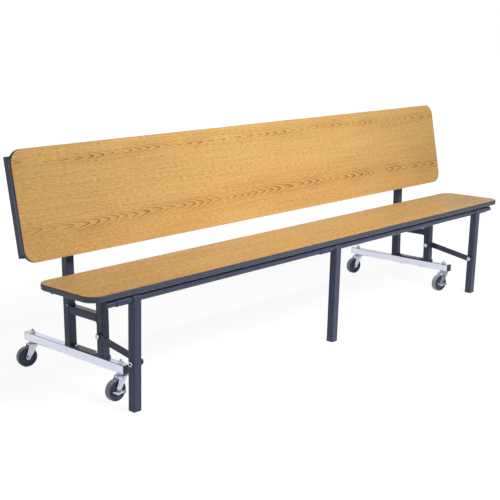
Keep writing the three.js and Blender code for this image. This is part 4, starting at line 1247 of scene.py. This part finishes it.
def add_brakes(sizes):
    """Foot levers on the front casters."""
    for side in SIDES:
        node = f"brake_lever_front_{side}"
        cover(node, "steel", eased(node, sizes.steel_edge), "Zinc plate", f"front_{side}_brake")


# Stage
def add_lamp(name, watts):
    """Soft lamp at its place in the lamps' table, pointed at its target."""
    size, spot, target = LAMPS[name]
    data = bpy.data.lights.new(name, "AREA")
    data.shape = "RECTANGLE"
    data.size, data.size_y = size
    data.energy = watts
    item = bpy.data.objects.new(name, data)
    item.location = spot
    item.rotation_euler = (Vector(target) - Vector(spot)).to_track_quat("-Z", "Y").to_euler()
    bpy.context.scene.collection.objects.link(item)
    return data


def add_stage(stage):
    """White floor and room, three soft lamps and the camera."""
    scene = bpy.context.scene
    mesh = bmesh.new()
    bmesh.ops.create_grid(mesh, x_segments=1, y_segments=1, size=stage.floor_size / 2)
    data = bpy.data.meshes.new("studio_floor")
    mesh.to_mesh(data)
    mesh.free()
    data.materials.append(white_floor())
    floor = bpy.data.objects.new("studio_floor", data)
    scene.collection.objects.link(floor)
    scene.world = white_room(stage)
    add_lamp("Key lamp", stage.key_power).spread = stage.key_spread
    add_lamp("Fill lamp", stage.fill_power)
    add_lamp("Top lamp", stage.top_power)

    data = bpy.data.cameras.new("Camera")
    data.lens = stage.lens
    data.sensor_width = SENSOR_WIDTH
    camera = bpy.data.objects.new("Camera", data)
    camera.location = stage.eye
    camera.rotation_euler = (QUARTER - stage.pitch, 0, stage.yaw - QUARTER)
    scene.collection.objects.link(camera)
    scene.camera = camera
    scene.view_settings.view_transform = "Standard"


def add_finishes(finishes):
    """Node groups and materials of all the pieces."""
    oak_grain_group()
    handling_group()
    edge_wear_group()
    floor_dust_group()
    laminate(
        "Back laminate", finishes, BACK_FACE, "back_board", Pitch=0.052, Figure=1.2,
        Upper_band=0.141, Upper_width=0.011, Lower_band=-0.087, Lower_width=0.015, Fineness=1.0,
    )
    laminate(
        "Seat laminate", finishes, UPRIGHT, "seat_board", Pitch=0.11, Figure=0.5,
        Upper_band=0.22, Upper_width=0.03, Lower_band=-0.24, Lower_width=0.03, Fineness=0.3,
    )
    backer_sheet(finishes)
    edge_vinyl(finishes)
    frame_paint(finishes)
    bright_chrome(finishes)
    zinc_plate(finishes)
    moulded_plastic("Black plastic", finishes.plastic, finishes, CAP_DUST_REACH)
    moulded_plastic("Wheel side", finishes.wheel, finishes, WHEEL_DUST_REACH)
    moulded_plastic("Wheel tread", finishes.tread, finishes, WHEEL_DUST_REACH)


class BENCH_OT_finishes(bpy.types.Operator):
    """Make the node groups and materials"""

    bl_idname = "bench.finishes"
    bl_label = "Finishes"

    def execute(self, context):
        add_finishes(context.scene.bench.finishes)
        return {"FINISHED"}


class BENCH_OT_boards(bpy.types.Operator):
    """Make the laminate boards and their edge moulds"""

    bl_idname = "bench.boards"
    bl_label = "Boards"

    def execute(self, context):
        add_boards(context.scene.bench.sizes)
        return {"FINISHED"}


class BENCH_OT_rails(bpy.types.Operator):
    """Make the rails and the saddles that hold them"""

    bl_idname = "bench.rails"
    bl_label = "Rails and saddles"

    def execute(self, context):
        add_rails(context.scene.bench.sizes)
        return {"FINISHED"}


class BENCH_OT_legs(bpy.types.Operator):
    """Make the front legs and their glides"""

    bl_idname = "bench.legs"
    bl_label = "Legs"

    def execute(self, context):
        add_legs(context.scene.bench.sizes)
        return {"FINISHED"}


class BENCH_OT_end_frames(bpy.types.Operator):
    """Make the uprights, cross-pieces and base plates"""

    bl_idname = "bench.end_frames"
    bl_label = "End frames"

    def execute(self, context):
        add_end_frames(context.scene.bench.sizes)
        return {"FINISHED"}


class BENCH_OT_caster_bars(bpy.types.Operator):
    """Make the chrome bars and their caps"""

    bl_idname = "bench.caster_bars"
    bl_label = "Caster bars"

    def execute(self, context):
        add_caster_bars(context.scene.bench.sizes)
        return {"FINISHED"}


class BENCH_OT_links(bpy.types.Operator):
    """Make the folding links and their bolts"""

    bl_idname = "bench.links"
    bl_label = "Links"

    def execute(self, context):
        add_links(context.scene.bench.sizes)
        return {"FINISHED"}


class BENCH_OT_back_hardware(bpy.types.Operator):
    """Make the brackets, channels and screws behind the back"""

    bl_idname = "bench.back_hardware"
    bl_label = "Back hardware"

    def execute(self, context):
        add_back_hardware(context.scene.bench.sizes)
        return {"FINISHED"}


class BENCH_OT_casters(bpy.types.Operator):
    """Make the casters' stems, forks and wheels"""

    bl_idname = "bench.casters"
    bl_label = "Casters"

    def execute(self, context):
        add_casters(context.scene.bench.casters)
        return {"FINISHED"}


class BENCH_OT_brakes(bpy.types.Operator):
    """Make the brake levers of the front casters"""

    bl_idname = "bench.brakes"
    bl_label = "Brake levers"

    def execute(self, context):
        add_brakes(context.scene.bench.sizes)
        return {"FINISHED"}


class BENCH_OT_stage(bpy.types.Operator):
    """Make the floor, the lamps and the camera"""

    bl_idname = "bench.stage"
    bl_label = "Stage"

    def execute(self, context):
        add_stage(context.scene.bench.stage)
        return {"FINISHED"}


OPERATORS = (
    BENCH_OT_finishes,
    BENCH_OT_boards,
    BENCH_OT_rails,
    BENCH_OT_legs,
    BENCH_OT_end_frames,
    BENCH_OT_caster_bars,
    BENCH_OT_links,
    BENCH_OT_back_hardware,
    BENCH_OT_casters,
    BENCH_OT_brakes,
    BENCH_OT_stage,
)


class BENCH_PT_sidebar(bpy.types.Panel):
    """Lists the steps that build the bench"""

    bl_label = "Convertible bench"
    bl_idname = "BENCH_PT_sidebar"
    bl_space_type = "VIEW_3D"
    bl_region_type = "UI"
    bl_category = "Bench"

    def draw(self, context):
        for operator in OPERATORS:
            self.layout.operator(operator.bl_idname)


GROUPS = (BenchSizes, BenchCasterSizes, BenchFinishes, BenchStage, BenchSettings)
CLASSES = (*GROUPS, *OPERATORS, BENCH_PT_sidebar)


def register():
    for item in CLASSES:
        bpy.utils.register_class(item)
    bpy.types.Scene.bench = PointerProperty(type=BenchSettings)


def unregister():
    del bpy.types.Scene.bench
    for item in reversed(CLASSES):
        bpy.utils.unregister_class(item)


def main():
    register()
    bpy.ops.bench.finishes()
    bpy.ops.bench.boards()
    bpy.ops.bench.rails()
    bpy.ops.bench.legs()
    bpy.ops.bench.end_frames()
    bpy.ops.bench.caster_bars()
    bpy.ops.bench.links()
    bpy.ops.bench.back_hardware()
    bpy.ops.bench.casters()
    bpy.ops.bench.brakes()
    bpy.ops.bench.stage()


if __name__ == "__main__":
    main()
